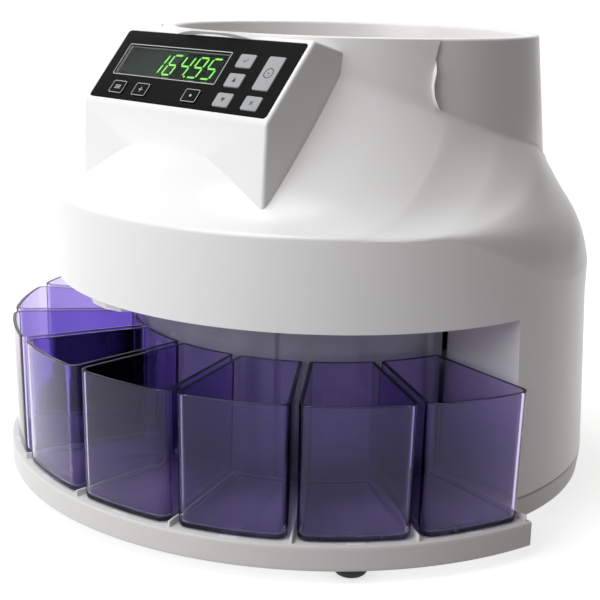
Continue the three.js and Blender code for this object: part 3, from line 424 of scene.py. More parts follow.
class Shader:
    """A Principled material whose colour, roughness and bump come from procedural nodes."""

    def __init__(self, name, colour, roughness):
        self.material = bpy.data.materials.new(name)
        self.material.use_nodes = True
        self.material.diffuse_color = (*colour, 1)
        self.nodes = self.material.node_tree.nodes
        self.links = self.material.node_tree.links
        self.principled = self.nodes["Principled BSDF"]
        self.set("Base Color", (*colour, 1))
        self.set("Roughness", roughness)
        self.colour = colour
        self.roughness = roughness
        self.place = self.nodes.new("ShaderNodeTexCoord").outputs["Object"]

    def set(self, name, value):
        self.principled.inputs[name].default_value = value
        return self

    def node(self, kind, **inputs):
        """Adds a node; an input is a value or another node's output."""
        node = self.nodes.new("ShaderNode" + kind)
        for name, value in inputs.items():
            socket = node.inputs[name.replace("_", " ")]
            if isinstance(value, bpy.types.NodeSocket):
                self.links.new(value, socket)
            else:
                socket.default_value = value
        return node

    def noise(self, size_mm, detail=3.0, stretch=(1, 1, 1)):
        scale = [1 / (size_mm * MM) * s for s in stretch]
        mapping = self.node("Mapping", Vector=self.place, Scale=scale)
        return self.node("TexNoise", Vector=mapping.outputs["Vector"], Scale=1, Detail=detail).outputs["Fac"]

    def ranged(self, value, low, high, from_low=NOISE_LOW, from_high=NOISE_HIGH):
        limits = {"From_Min": from_low, "From_Max": from_high, "To_Min": low, "To_Max": high}
        return self.node("MapRange", Value=value, **limits).outputs["Result"]

    def vary_colour(self, size_mm, amount, **kinds):
        ramp = self.node("ValToRGB", Fac=self.noise(size_mm, **kinds))
        ends = zip(ramp.color_ramp.elements, (NOISE_LOW, NOISE_HIGH), (1 - amount, 1 + amount))
        for end, position, gain in ends:
            end.position = position
            end.color = (*[min(1, c * gain) for c in self.colour], 1)
        self.links.new(ramp.outputs["Color"], self.principled.inputs["Base Color"])
        return self

    def vary_roughness(self, size_mm, amount, **kinds):
        low = max(0.02, self.roughness - amount)
        value = self.ranged(self.noise(size_mm, **kinds), low, self.roughness + amount)
        self.links.new(value, self.principled.inputs["Roughness"])
        return self

    def bump(self, size_mm, height_mm, strength=0.5, **kinds):
        height = self.noise(size_mm, **kinds)
        node = self.node("Bump", Strength=strength, Distance=height_mm * MM, Height=height)
        self.links.new(node.outputs["Normal"], self.principled.inputs["Normal"])
        return self


def moulded(name, colour, roughness, grain_mm=0.5, depth_mm=0.012, gloss_change=0.03, **extra):
    """Moulded plastic: faint flow marks, a fine grain and uneven gloss."""
    shader = Shader(name, colour, roughness)
    shader.vary_colour(60, 0.012, detail=2.0)
    shader.vary_roughness(22, gloss_change, detail=2.0)
    shader.bump(grain_mm, depth_mm, 0.35, detail=1.0)
    for socket, value in extra.items():
        shader.set(socket.replace("_", " "), value)
    return shader.material


def tinted_plastic(name, colour, roughness):
    """Clear tinted styrene, with faint flow lines and handling marks."""
    shader = Shader(name, colour, roughness)
    shader.vary_colour(30, 0.03, detail=2.0, stretch=(1, 1, 0.3))
    shader.vary_roughness(14, 0.02, detail=2.0)
    shader.bump(26, 0.03, 0.08, detail=1.0)
    shader.set("Transmission Weight", 1.0)
    shader.set("IOR", 1.36)
    shader.set("Specular Tint", (0.72, 0.68, 1.0, 1))
    return shader.material


def brushed(name, colour, roughness, stretch):
    shader = Shader(name, colour, roughness)
    shader.set("Metallic", 1.0)
    shader.vary_colour(2.0, 0.08, stretch=stretch)
    shader.vary_roughness(1.2, 0.08, stretch=stretch)
    shader.bump(0.5, 0.006, 0.4, stretch=stretch)
    return shader.material


def cast_metal(name, colour, roughness):
    shader = Shader(name, colour, roughness)
    shader.set("Metallic", 0.9)
    shader.vary_colour(6, 0.1, detail=5.0)
    shader.vary_roughness(3, 0.1, detail=5.0)
    shader.bump(0.9, 0.03, 0.5, detail=4.0)
    return shader.material


def rubber_material(name):
    shader = Shader(name, (0.014, 0.014, 0.014), 0.72)
    shader.vary_colour(4, 0.3, detail=4.0)
    shader.vary_roughness(3, 0.1, detail=4.0)
    shader.bump(0.4, 0.02, 0.6)
    return shader.material


def board_material():
    shader = Shader("circuit_board", (0.012, 0.1, 0.035), 0.35)
    shader.vary_colour(1.8, 0.35, detail=6.0)
    shader.vary_roughness(5, 0.08)
    shader.bump(0.7, 0.03, 0.4, detail=5.0)
    return shader.material


def display_material():
    """Dark green-black display glass, with a painted reflection: a paler slanted band of glare at its left
    end.
    """
    dark = (0.0075, 0.0125, 0.0095)
    # The paler colour is painted glare, a reflection on the glass rather than its own colour.
    painted_glare = (0.04, 0.05, 0.045)
    slant = 0.75
    shader = Shader("display_glass_painted_glare", dark, 0.6)
    split = shader.node("SeparateXYZ", Vector=shader.place)
    along = shader.node("Math")
    along.operation = "MULTIPLY_ADD"
    along.inputs[1].default_value = -slant
    shader.links.new(split.outputs["Z"], along.inputs[0])
    shader.links.new(split.outputs["X"], along.inputs[2])
    low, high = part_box("display_module")
    shift = slant * (low.z + high.z) / 2
    glare_across = shader.ranged(along.outputs["Value"], 0, 1, low.x - shift, high.x - shift)
    ramp = shader.node("ValToRGB", Fac=glare_across)
    # This ramp paints the reflection: dimmer glare at the left end, brightening to a slanted edge, then the
    # glass's own dark colour.
    film = ramp.color_ramp
    film.elements[0].color = (*[c * 0.6 for c in painted_glare], 1)
    film.elements[1].position = 0.5
    film.elements[1].color = (*painted_glare, 1)
    film.elements.new(0.53).color = (*dark, 1)
    shader.links.new(ramp.outputs["Color"], shader.principled.inputs["Base Color"])
    shader.vary_roughness(8, 0.03)
    shader.set("Specular IOR Level", 0.05)
    return shader.material


def lit_segment_material():
    shader = Shader("lit_segment", (0.25, 0.8, 0.12), 0.4)
    shader.vary_colour(1.5, 0.15)
    shader.set("Emission Color", (0.16, 0.62, 0.06, 1))
    shader.set("Emission Strength", 0.42)
    return shader.material


def window_material():
    shader = Shader("window_glass", (0.9, 0.93, 0.91), 0.02)
    shader.vary_colour(30, 0.02)
    shader.set("Transmission Weight", 1.0)
    shader.set("IOR", 1.1)
    return shader.material


def floor_material():
    shader = Shader("pale_floor", (0.6, 0.6, 0.6), 0.8)
    shader.vary_colour(300, 0.01)
    shader.vary_roughness(80, 0.05)
    shader.set("Specular IOR Level", 0.0)
    shader.set("Emission Color", (1, 1, 1, 1))
    shader.set("Emission Strength", 0.64)
    return shader.material


camera()
lights()
floor()

WHITE = moulded(
    "white_shell", (0.79, 0.79, 0.795), 0.32, 0.9, 0.0015, 0.015, Coat_Weight=0.3, Coat_Roughness=0.16,
)
PAD_WHITE = moulded("pad_plastic", (0.85, 0.85, 0.86), 0.35)
BASE_GREY = moulded("base_plastic", (0.66, 0.655, 0.65), 0.38, 0.9, 0.003, 0.02)
DRUM_GREY = moulded("drum_plastic", (0.3, 0.3, 0.34), 0.26, 0.6, 0.003)
VIOLET = tinted_plastic("violet_clear", (0.66, 0.6, 0.86), 0.06)
VIOLET_EDGE = tinted_plastic("violet_edge", (0.24, 0.2, 0.44), 0.12)
BLACK_FILM = moulded("panel_film", (0.0055, 0.0055, 0.0058), 0.5, 0.45, 0.01, Specular_IOR_Level=0.04)
KEY_GREY = moulded("key_grey", (0.3, 0.31, 0.32), 0.45, 0.3, 0.02)
KEY_BLACK = moulded("key_black", (0.004, 0.004, 0.0044), 0.5, 0.45, 0.01, Specular_IOR_Level=0.05)
MARK_LIGHT = moulded("light_print", (0.52, 0.53, 0.54), 0.5)
MARK_DARK = moulded("dark_print", (0.012, 0.012, 0.013), 0.5)
BLACK_PLASTIC = moulded("black_plastic", (0.018, 0.018, 0.02), 0.4, 0.4, 0.03)
ORANGE = moulded("disc_plastic", (0.55, 0.2, 0.03), 0.4)
RUBBER = rubber_material("black_rubber")
STEEL = brushed("brushed_steel", (0.56, 0.57, 0.58), 0.3, (1, 6, 6))
BRASS = brushed("turned_brass", (0.72, 0.52, 0.22), 0.3, (1, 1, 8))
ALLOY = cast_metal("cast_alloy", (0.5, 0.51, 0.53), 0.42)
BOARD = board_material()
DISPLAY = display_material()
LIT = lit_segment_material()
WINDOW_GLASS = window_material()

CAD_LOOKS = [
    (STEEL, "sorting_deck coin_rail spindle upper_bearing lower_bearing motor_shaft motor_bracket data_port"),
    (STEEL, "plate_screw_1 plate_screw_2 plate_screw_3 plate_screw_4"),
    (BLACK_PLASTIC, "base_plate coin_sensor spindle_pulley"),
    (BLACK_PLASTIC, "port_plate power_inlet switch_housing power_rocker"),
    (ALLOY, "bearing_block drive_motor power_supply"),
    (BOARD, "main_board panel_board"),
    (WHITE, "coin_chutes"),
    (BRASS, "motor_pulley"),
    (RUBBER, "drive_belt"),
    (DISPLAY, "display_module"),
]
CAD_EDGES = [
    (0.5, "coin_chutes port_plate power_inlet power_rocker"),
    (0.4, "switch_housing data_port"),
    (0.3, "base_plate sorting_deck coin_rail"),
]


def dress_cad_nodes():
    """Gives the carried-over CAD pieces their materials and softened edges."""
    for material, names in CAD_LOOKS:
        for name in names.split():
            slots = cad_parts[name].data.materials
            slots.clear()
            slots.append(material)
    for width, names in CAD_EDGES:
        for name in names.split():
            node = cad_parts[name]
            weld = node.modifiers.new("weld", "WELD")
            weld.merge_threshold = 1e-5
            edge = node.modifiers.new("round_edges", "BEVEL")
            edge.width = width * MM
            edge.segments = 2
            edge.limit_method = "ANGLE"
            edge.angle_limit = math.radians(35)


dress_cad_nodes()

# ---------------- upper cover

SLOPE = [
    (84, 257), (92.2, 240.4), (102.3, 219.8), (110, 206.5), (118, 194), (126, 182.6), (134.7, 171.8),
    (143, 165), (HOUSING_RADIUS, SHOULDER_Z - 0.4),
]
EDGE_ROUNDING = [
    (0, 33), (1.2, 27.5), (3.6, 20), (8.6, 11.6), (18.2, 5.4), (27.8, 2), (35, 0), (42, -1.5), (68, -2),
]
NARROW_EDGE = 0.035
FRONT_CREASE = (48.6, 69.2)
REAR_CREASE = (62.8, 85.9)
DOME_BLEND_END = 102
APRON_RIM_ANGLE = 68
LIP_RISE = 1.2
RIM_SETBACK = 0.4  # how far the cover's front stops below the hopper's rim
FAN_START = 40  # bearing at which the ribs begin to close up towards the front crease
FAN_STEP = 4
CREASE_GAP = 0.6
APRON_RIBS = 18
FAN_RIBS = 8
FACET_RIBS = 9
WALL_STEP = 2.6  # degrees between the wall's ribs


def curve_through(table):
    """A smooth curve through a table's rows that doesn't overshoot them."""
    at = np.array([row[0] for row in table], float)
    value = np.array([row[1] for row in table], float)
    slope = np.diff(value) / np.diff(at)
    tangent = np.concatenate([[slope[0]], (slope[1:] + slope[:-1]) / 2, [slope[-1]]])
    for i, chord in enumerate(slope):
        limit = 3 * abs(chord)
        tangent[i] = math.copysign(min(abs(tangent[i]), limit), chord)
        tangent[i + 1] = math.copysign(min(abs(tangent[i + 1]), limit), chord)

    def read(x):
        x = min(at[-1], max(at[0], x))
        i = min(len(slope) - 1, int(np.searchsorted(at, x, side="right")) - 1)
        width = at[i + 1] - at[i]
        t = (x - at[i]) / width
        return float(
            value[i] * (1 + 2 * t) * (1 - t) ** 2
            + tangent[i] * width * t * (1 - t) ** 2
            + value[i + 1] * t * t * (3 - 2 * t)
            + tangent[i + 1] * width * t * t * (t - 1)
        )

    return read


slope_curve = curve_through(SLOPE)
rounding_curve = curve_through(EDGE_ROUNDING)


def height_at(radius, rounding):
    from_wall = max(0, HOUSING_RADIUS - radius)
    return slope_curve(radius) - rounding * rounding_curve(from_wall / rounding)


def collar_radius(z):
    return COLLAR_RADIUS + COLLAR_DRAFT * (RIM_Z - z)


def wall_radius(z):
    return HOUSING_RADIUS + WALL_DRAFT * max(0, DRAFT_START_Z - z)


def collar_meeting(bearing, rounding):
    z = 200
    for _ in range(20):
        point = polar(collar_radius(z) + APRON_EDGE, bearing, z, COLLAR_OFFSET)
        z = height_at(math.hypot(point.x, point.y), rounding)
    return polar(collar_radius(z) + APRON_EDGE, bearing, z, COLLAR_OFFSET)


# Openings in the cover's wall: first and last bearing, lowest and highest edge.
SLOT_BEARINGS = [124 + i * 3.4 for i in range(6)]
SLOT_HALF = math.degrees(1.5 / HOUSING_RADIUS)
SLOT_Z = (38, 64)
PORT_HALF = math.degrees(math.asin(42 / HOUSING_RADIUS))
PORT_Z = (34, 66)


def cover_openings():
    openings = [(-1, OPENING_HALF_ANGLE, 0, HOOD_BOTTOM), (180 - PORT_HALF, 181, *PORT_Z)]
    openings += [(at - SLOT_HALF, at + SLOT_HALF, *SLOT_Z) for at in SLOT_BEARINGS]
    return openings


def wall_bearings(low, high, step):
    """Evenly spaced bearings, with each opening's edges and a close line beside it."""
    marks = {low, high}
    for start, end, _, _ in cover_openings():
        for edge in (start, end):
            marks.update(at for at in (edge - 0.35, edge, edge + 0.35) if low < at < high)
    marks = sorted(marks)
    result = []
    for a, b in zip(marks, marks[1:]):
        count = max(1, round((b - a) / step))
        result += [lerp(a, b, i / count) for i in range(count)]
    return result


RIM_EDGE = [(3.0, 37.0), (-3.5, 14.0), (-5.0, 0.0), (6.0, LIP_RISE)]
RIM_EDGE_LEAD = 11


def rim_edge(t):
    """The cover's edge on the collar, from the rim down and round to the rear: (millimetres back, rise)."""
    weights = ((1 - t) ** 3, 3 * t * (1 - t) ** 2, 3 * t * t * (1 - t), t ** 3)
    return [sum(w * point[k] for w, point in zip(weights, RIM_EDGE)) for k in (0, 1)]


def cover_stations():
    """One half's ribs, from the front to the back: apron, fan up to the facet, facet, then dome and wall."""
    shoulder0, collar0 = FRONT_CREASE
    shoulder1, collar1 = REAR_CREASE
    collar_share = APRON_RIM_ANGLE / (shoulder0 - 0.5)
    stations = []

    def add(shoulder, collar, rise, rounding=NARROW_EDGE, **extra):
        stations.append({"shoulder": shoulder, "collar": collar, "rounding": rounding, "rise": rise, **extra})

    for shoulder in np.linspace(0, FAN_START, APRON_RIBS):
        add(shoulder, shoulder * collar_share, "full")
    for t in np.linspace(0, 1, FAN_RIBS):
        shoulder = lerp(FAN_START + FAN_STEP, shoulder0 - CREASE_GAP, t)
        add(shoulder, lerp(FAN_START * collar_share + FAN_STEP, collar0 - CREASE_GAP, t), t)
    for t in np.linspace(0, 1, FACET_RIBS):
        add(lerp(shoulder0, shoulder1, t), lerp(collar0, collar1, t), "lip", across=t)
    for shoulder in wall_bearings(shoulder1, 180, WALL_STEP)[1:] + [180]:
        blend = smoothstep(shoulder, shoulder1, DOME_BLEND_END)
        collar = lerp(collar1, 180, (shoulder - shoulder1) / (180 - shoulder1))
        add(shoulder, collar, "lip", lerp(NARROW_EDGE, 1, blend))
    return stations


WALL_LEVELS = sorted({BASE_TOP + SEAT_GAP, *PORT_Z, *SLOT_Z, 90, 106, 110, HOOD_BOTTOM, HOOD_BOTTOM + 0.8})
EDGE_WIDTH = 20
EDGE_LEVELS = [0, 0.01, 0.025, 0.05, 0.085, 0.13, 0.19, 0.27, 0.37, 0.5, 0.66, 0.83, 1]
SLOPE_LEVELS = [0.03, 0.1, 0.2, 0.3, 0.4, 0.5, 0.6, 0.7, 0.8, 0.9, 0.96, 1]
LIP_LEVELS = [0.08, 0.3, 0.6, 0.92, 1]
HOOD_LEVELS = (0.4, 0.75, 0.96)


def plain_rib(station):
    """One line of points up the wall, over the edge, up the slope and along the collar."""
    shoulder, collar, rounding = station["shoulder"], station["collar"], station["rounding"]
    meeting = collar_meeting(collar, rounding)
    inner_radius = math.hypot(meeting.x, meeting.y)
    inner_bearing = math.degrees(math.atan2(meeting.x, -meeting.y))
    edge_start = height_at(HOUSING_RADIUS, rounding)
    points = [polar(wall_radius(z), shoulder, z) for z in WALL_LEVELS]
    wall_end = WALL_LEVELS[-1]
    points += [polar(HOUSING_RADIUS, shoulder, lerp(wall_end, edge_start, t)) for t in HOOD_LEVELS]
    whole_way = HOUSING_RADIUS - inner_radius
    edge_width = min(EDGE_WIDTH * max(rounding, 0.08), 0.8 * whole_way)
    ways = [level * edge_width for level in EDGE_LEVELS]
    ways += [lerp(edge_width, whole_way, share) for share in SLOPE_LEVELS]
    for way in ways:
        bearing = lerp(shoulder, inner_bearing, way / whole_way)
        points.append(polar(HOUSING_RADIUS - way, bearing, height_at(HOUSING_RADIUS - way, rounding)))
    base_z = points[-1].z
    rise = station["rise"]
    back = 0.0
    top = LIP_RISE if rise == "lip" else RIM_Z - RIM_SETBACK - base_z
    if rise not in ("full", "lip"):
        back, up = rim_edge(rise)
        back -= lerp(RIM_EDGE[0][0] - RIM_EDGE_LEAD, RIM_EDGE[-1][0], rise)
        top = lerp(top, LIP_RISE, 1 - (up - LIP_RISE) / (RIM_EDGE[0][1] - LIP_RISE))
    for level in LIP_LEVELS:
        z = base_z + top * level
        turn = math.degrees(back * level / COLLAR_RADIUS)
        points.append(polar(collar_radius(z) + APRON_EDGE, collar + turn, z, COLLAR_OFFSET))
    return points


WALL_POINTS = len(WALL_LEVELS) + len(HOOD_LEVELS)
SLOPE_END = WALL_POINTS + len(EDGE_LEVELS) + len(SLOPE_LEVELS)
FLATNESS_NEAR_COLLAR = {SLOPE_END - 1: 0.0, SLOPE_END - 2: 0.35, SLOPE_END - 3: 0.75}


def facet_rib(station):
    """Across the facet the slope is flat, while the wall below and the edge at the collar stay round."""
    first = plain_rib({**station, "shoulder": FRONT_CREASE[0], "collar": FRONT_CREASE[1]})
    last = plain_rib({**station, "shoulder": REAR_CREASE[0], "collar": REAR_CREASE[1]})
    points = plain_rib(station)
    for i in range(WALL_POINTS, SLOPE_END):
        flat = first[i].lerp(last[i], station["across"])
        share = min(1.0, (i - WALL_POINTS) / (len(EDGE_LEVELS) - 1))
        share *= FLATNESS_NEAR_COLLAR.get(i, 1.0)
        points[i] = points[i].lerp(flat, share)
    return points


def cover_grid():
    half = cover_stations()
    ribs = [facet_rib(station) if "across" in station else plain_rib(station) for station in half]
    mirrored = [[Vector((-p.x, p.y, p.z)) for p in rib] for rib in ribs[-2:0:-1]]
    bearings = [station["shoulder"] for station in half]
    bearings += [360 - b for b in bearings[-2:0:-1]]
    return np.array([[tuple(p) for p in rib] for rib in ribs + mirrored]), bearings


def inside_of(grid):
    """The cover's inner surface: each point moved in by the wall, and kept clear of the hopper."""
    along = np.roll(grid, -1, axis=0) - np.roll(grid, 1, axis=0)
    up = np.gradient(grid, axis=1)
    normal = np.cross(along, up)
    normal /= np.linalg.norm(normal, axis=2, keepdims=True) + 1e-9
    inner = grid - normal * COVER_WALL
    inner[:, 0, 2] = grid[:, 0, 2]
    inner[:, -1, 2] = grid[:, -1, 2]
    for rib in inner:
        for point in rib:
            reach = math.hypot(point[0], point[1] - COLLAR_OFFSET)
            least = collar_radius(point[2]) + COLLAR_GAP
            if point[2] > COLLAR_BOTTOM - 3 and reach < least and point[1] > HOPPER_FLAT_Y - COLLAR_GAP:
                point[0] *= least / reach
                point[1] = COLLAR_OFFSET + (point[1] - COLLAR_OFFSET) * least / reach
    return inner


def cover_shell():
    grid, bearings = cover_grid()
    inner = inside_of(grid)
    ribs, levels = grid.shape[:2]
    points = np.concatenate([grid.reshape(-1, 3), inner.reshape(-1, 3)])
    offset = ribs * levels
    openings = cover_openings()

    def is_open(i, j):
        if not 0 <= j < levels - 1:
            return True
        if j >= len(WALL_LEVELS) - 1:
            return False
        middle = (bearings[i] + (bearings[(i + 1) % ribs] or 360)) / 2
        middle = min(middle, 360 - middle)  # the openings are listed for one half
        z = (WALL_LEVELS[j] + WALL_LEVELS[j + 1]) / 2
        return any(start < middle < end and low < z < high for start, end, low, high in openings)

    def bridge(a, b):
        faces.append((a, b, offset + b, offset + a))

    faces = []
    for i in range(ribs):
        k = (i + 1) % ribs
        for j in range(-1, levels):
            if not is_open(i, j):
                cell = (i * levels + j, k * levels + j, k * levels + j + 1, i * levels + j + 1)
                faces.append(cell)
                faces.append(tuple(offset + v for v in reversed(cell)))
            if j < levels - 1 and is_open(i, j) != is_open(i, j + 1):
                bridge(i * levels + j + 1, k * levels + j + 1)
            if 0 <= j < levels - 1 and is_open(i, j) != is_open(k, j):
                bridge(k * levels + j, k * levels + j + 1)
    shell = mesh_piece("upper_cover_shell", points.tolist(), faces, WHITE)
    with editing(shell.data) as edit:
        loose = [vertex for vertex in edit.verts if not vertex.link_faces]
        bmesh.ops.delete(edit, geom=loose, context="VERTS")
    return shell


def pod_block(name, margin, bottom):
    """The console as a solid block; margin shrinks it for the hollow inside."""
    tilt = math.radians(PANEL_TILT)
    along = Vector((math.cos(tilt), math.sin(tilt)))
    normal = Vector((-math.sin(tilt), math.cos(tilt)))
    centre = Vector((PANEL_CENTRE.y, PANEL_CENTRE.z)) - normal * margin
    half = PANEL_HEIGHT / 2 + PANEL_BORDER - margin
    low = centre - along * half
    high = centre + along * half
    back = POD_BACK_Y + margin
    outline = [low, high, (back, POD_BACK_Z - margin * 1.3), (back, bottom), (low.x - POD_FRONT_LEAN, bottom)]
    width = POD_HALF_WIDTH - margin
    rings = [[(x, y, z) for y, z in outline] for x in (-width, width)]
    return loft(name, rings, WHITE)


def to_panel(piece):
    """Moves a piece made flat on the panel, in machine axes, to the panel's slope."""
    home = Matrix.Translation((0, -AXIS_Y * MM, 0))
    tilt = Matrix.Rotation(math.radians(PANEL_TILT), 4, "X")
    piece.data.transform(Matrix.Translation(placed(PANEL_CENTRE)) @ tilt @ home)
    return piece


def panel_block(name, width, depth, u, v, low, high, material, radius=1.0, edge=0.0, steps=6):
    outline = rounded_rectangle(width, depth, radius, u - PANEL_MIDDLE[0], v - PANEL_MIDDLE[1], steps)
    return slab(name, outline, low, high, material, edge)


def front_block(name, y):
    """A block larger than the machine, from y towards the front."""
    corners = ((-200, -50), (200, -50), (200, 400), (-200, 400))
    rings = [[(x, depth, z) for x, z in corners] for depth in (y - 90, y)]
    return loft(name, rings, WHITE)


def hopper_room():
    """The space that the hopper and its gap take up in the console."""
    bottom, top = 120, RIM_Z + 20
    side = [(collar_radius(z) + COLLAR_GAP, z) for z in (bottom, top)]
    profile = [(0, bottom), *side, (0, top)]
    cone = turned("room", profile, WHITE, 180, y=COLLAR_OFFSET, corner=0, closed=False)
    boolean(cone, front_block("front", HOPPER_FLAT_Y - COLLAR_GAP))
    return cone


def bay_jamb(side):
    """The upright wall between the drum and one end of the housing's round wall."""
    inner = DRUM_RADIUS - 1
    half = JAMB_HALF_THICKNESS
    rings = []
    for z in (BASE_TOP + SEAT_GAP, DRAFT_START_Z, HOOD_BOTTOM + 1):
        outer = wall_radius(z) - COVER_WALL + 1
        rings.append([(-half, -outer, z), (half, -outer, z), (half, -inner, z), (-half, -inner, z)])
    piece = loft("jamb", rings, WHITE)
    bevel(piece, 0.4)
    return turn_about_axis(piece, side * (OPENING_HALF_ANGLE + 0.6))


def panel_holes(reach, material):
    """Cutters for the display window and the keys, made flat, reaching this far to each side of the panel."""
    spots = [(WINDOW["width"], WINDOW["depth"], WINDOW["u"], WINDOW["v"])]
    spots += [(KEY_WIDTH, key["depth"], key["u"], key["v"]) for key in KEYS]
    gap = 2 * KEY_GAP
    return [panel_block("hole", w + gap, d + gap, u, v, -reach, reach, material) for w, d, u, v in spots]


def upper_cover():
    shell = cover_shell()
    bevel(shell, 0.55, 3, 50)
    pod = pod_block("pod", 0, POD_BOTTOM)
    bevel(pod, 1.8, 5, 20)
    boolean(pod, hopper_room())
    boolean(shell, pod, "UNION")
    boolean(shell, pod_block("hollow", POD_WALL, POD_BOTTOM))
    recess = panel_block("recess", PANEL_WIDTH + 0.6, PANEL_HEIGHT + 0.6, *PANEL_MIDDLE, -1, 8, WHITE, 2.2)
    boolean(shell, to_panel(recess))
    for hole in panel_holes(8, WHITE):
        boolean(shell, to_panel(hole))
    clean(shell, 34)
    cover = join("upper_cover_shell", [shell, bay_jamb(-1), bay_jamb(1)])
    stand(cover, "housing", "shell", "upper_cover")


# ---------------- hopper and what shows inside it


HOPPER_WALL = 2.2
BOWL = [(97.6, 225), (95, 200), (92.8, 186), (90, 172), (86.4, 161), (82, 150), (78, 138)]


def hopper():
    """The round collar and the bowl inside it, joined by the rim."""
    under_rim = RIM_Z - 6
    bowl_back = [(radius + HOPPER_WALL, z + 0.4) for radius, z in reversed(BOWL)]
    outline = [
        (collar_radius(COLLAR_BOTTOM), COLLAR_BOTTOM), (collar_radius(RIM_Z), RIM_Z),
        (RIM_INNER_RADIUS, RIM_Z), *BOWL, *bowl_back,
        (RIM_INNER_RADIUS + HOPPER_WALL, under_rim), (collar_radius(under_rim) - HOPPER_WALL, under_rim),
        (collar_radius(COLLAR_BOTTOM) - HOPPER_WALL, COLLAR_BOTTOM),
    ]
    piece = turned("hopper_bowl", outline, WHITE, 180, y=COLLAR_OFFSET, corner=1.6)
    boolean(piece, front_block("front", HOPPER_FLAT_Y))
    clean(piece, 34)
    stand(piece, "housing", "shell", "hopper")


DISC_BORE = 5.3
PEG_COUNT = 6
PEG_CIRCLE = 62
RIB_COUNT = 24
RIB_CIRCLE = 46


def feed_disc():
    top = DISC_BOTTOM + 3
    profile = [
        (DISC_BORE, DISC_BOTTOM), (DISC_RADIUS, DISC_BOTTOM), (DISC_RADIUS, top), (DISC_RADIUS - 4, top + 1),
        (DISC_RADIUS - 8, top), (14, top), (12, top + 4), (DISC_BORE, top + 4),
    ]
    pieces = [turned("disc", profile, ORANGE, 128, y=COLLAR_OFFSET, corner=0.8)]
    peg_profile = [(0, top - 1), (4, top - 1), (4, top + 5), (0, top + 5)]
    for i in range(PEG_COUNT):
        place = polar(PEG_CIRCLE, i * 360 / PEG_COUNT + 15, 0, COLLAR_OFFSET)
        pieces.append(turned("peg", peg_profile, ORANGE, 24, place.x, place.y, 0.8, False))
    for i in range(RIB_COUNT):
        outline = rounded_rectangle(1.2, 16, 0.5, 0, COLLAR_OFFSET - RIB_CIRCLE)
        rib = slab("rib", outline, top - 0.3, top + 0.45, ORANGE, 0.2)
        pieces.append(turn_about_axis(rib, (i + 0.5) * 360 / RIB_COUNT, COLLAR_OFFSET))
    stand(join("feed_disc_ribbed", pieces), "feed_rotor", "disc", "feed_disc")


def hub_cap():
    base = DISC_BOTTOM + 7 + SEAT_GAP
    profile = [(0, base), (15, base), (15, base + 3), (12, base + 9), (7, base + 13), (0, base + 14.5)]
    cap = turned("hub_cap_dome", profile, BLACK_PLASTIC, 64, y=COLLAR_OFFSET, corner=1.6, closed=False)
    stand(cap, "feed_rotor", "black_plastic", "hub_cap")


# ---------------- base


def arc_points(radius, start, end, steps, z):
    return [polar(radius, lerp(start, end, i / steps), z) for i in range(steps + 1)]


def base_outline(inset, heel_inset, z):
    """The base seen from above: the wide front apron, then the smaller round heel."""
    apron = arc_points(BASE_RADIUS - inset, -APRON_HALF_ANGLE, APRON_HALF_ANGLE, 150, z)
    heel = arc_points(HEEL_RADIUS - inset - heel_inset, APRON_HALF_ANGLE, 360 - APRON_HALF_ANGLE, 120, z)
    apron[0] = apron[0].lerp(apron[1], APRON_CORNER_EASE)
    return apron + heel


def base_tray():
    # Each level is the inset, the heel's further inset and the height.
    levels = [
        (1.0, HEEL_DRAFT, FOOT_HEIGHT), (0.35, HEEL_DRAFT, FOOT_HEIGHT + 0.3),
        (0, HEEL_DRAFT, FOOT_HEIGHT + 1), (0, HEEL_DRAFT - 0.1, FOOT_HEIGHT + 2),
        (0, 0.1, BASE_TOP - 2), (0, 0, BASE_TOP - 1), (0.35, 0, BASE_TOP - 0.3), (1.0, 0, BASE_TOP),
    ]
    hollow = [(BASE_WALL, HEEL_DRAFT + 1, FOOT_HEIGHT - 1), (BASE_WALL, HEEL_DRAFT, BASE_TOP - BASE_WALL)]
    tray = loft("tray", [base_outline(*level) for level in levels], BASE_GREY)
    boolean(tray, loft("hollow", [base_outline(*level) for level in hollow], BASE_GREY))
    clean(tray, 32)
    pieces = [tray]
    for bearing in GAP_BEARINGS:
        outline = rounded_rectangle(1.2, 68, 0.5, 0, -144)
        fin = slab("fin", outline, BASE_TOP - 0.5, BASE_TOP + 3.2, WHITE, 0.3)
        pieces.append(turn_about_axis(fin, bearing))
    for bearing in BIN_BEARINGS:
        outline = rounded_rectangle(PAD["width"], PAD["depth"], 0.8, 0, -PAD["radius"])
        pad = slab("pad", outline, BASE_TOP - 0.5, BASE_TOP + PAD["rise"], PAD_WHITE)
        pieces.append(turn_about_axis(pad, bearing))
    stand(join("base_pan", pieces), "housing", "base", "base_tray")


def feet():
    for i in range(1, 5):
        low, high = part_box(f"rubber_foot_{i}")
        x = (low.x + high.x) / 2 / MM
        y = (low.y + high.y) / 2 / MM - AXIS_Y
        foot = turned(
            f"foot_{i}", [(0, 0), (5.5, 0), (7.6, 1.2), (8.6, 3.4), (8.6, FOOT_HEIGHT), (0, FOOT_HEIGHT)],
            RUBBER, 40, x, y, 1.2, False,
        )
        stand(foot, "housing", "rubber", f"rubber_foot_{i}")


# ---------------- coin bins


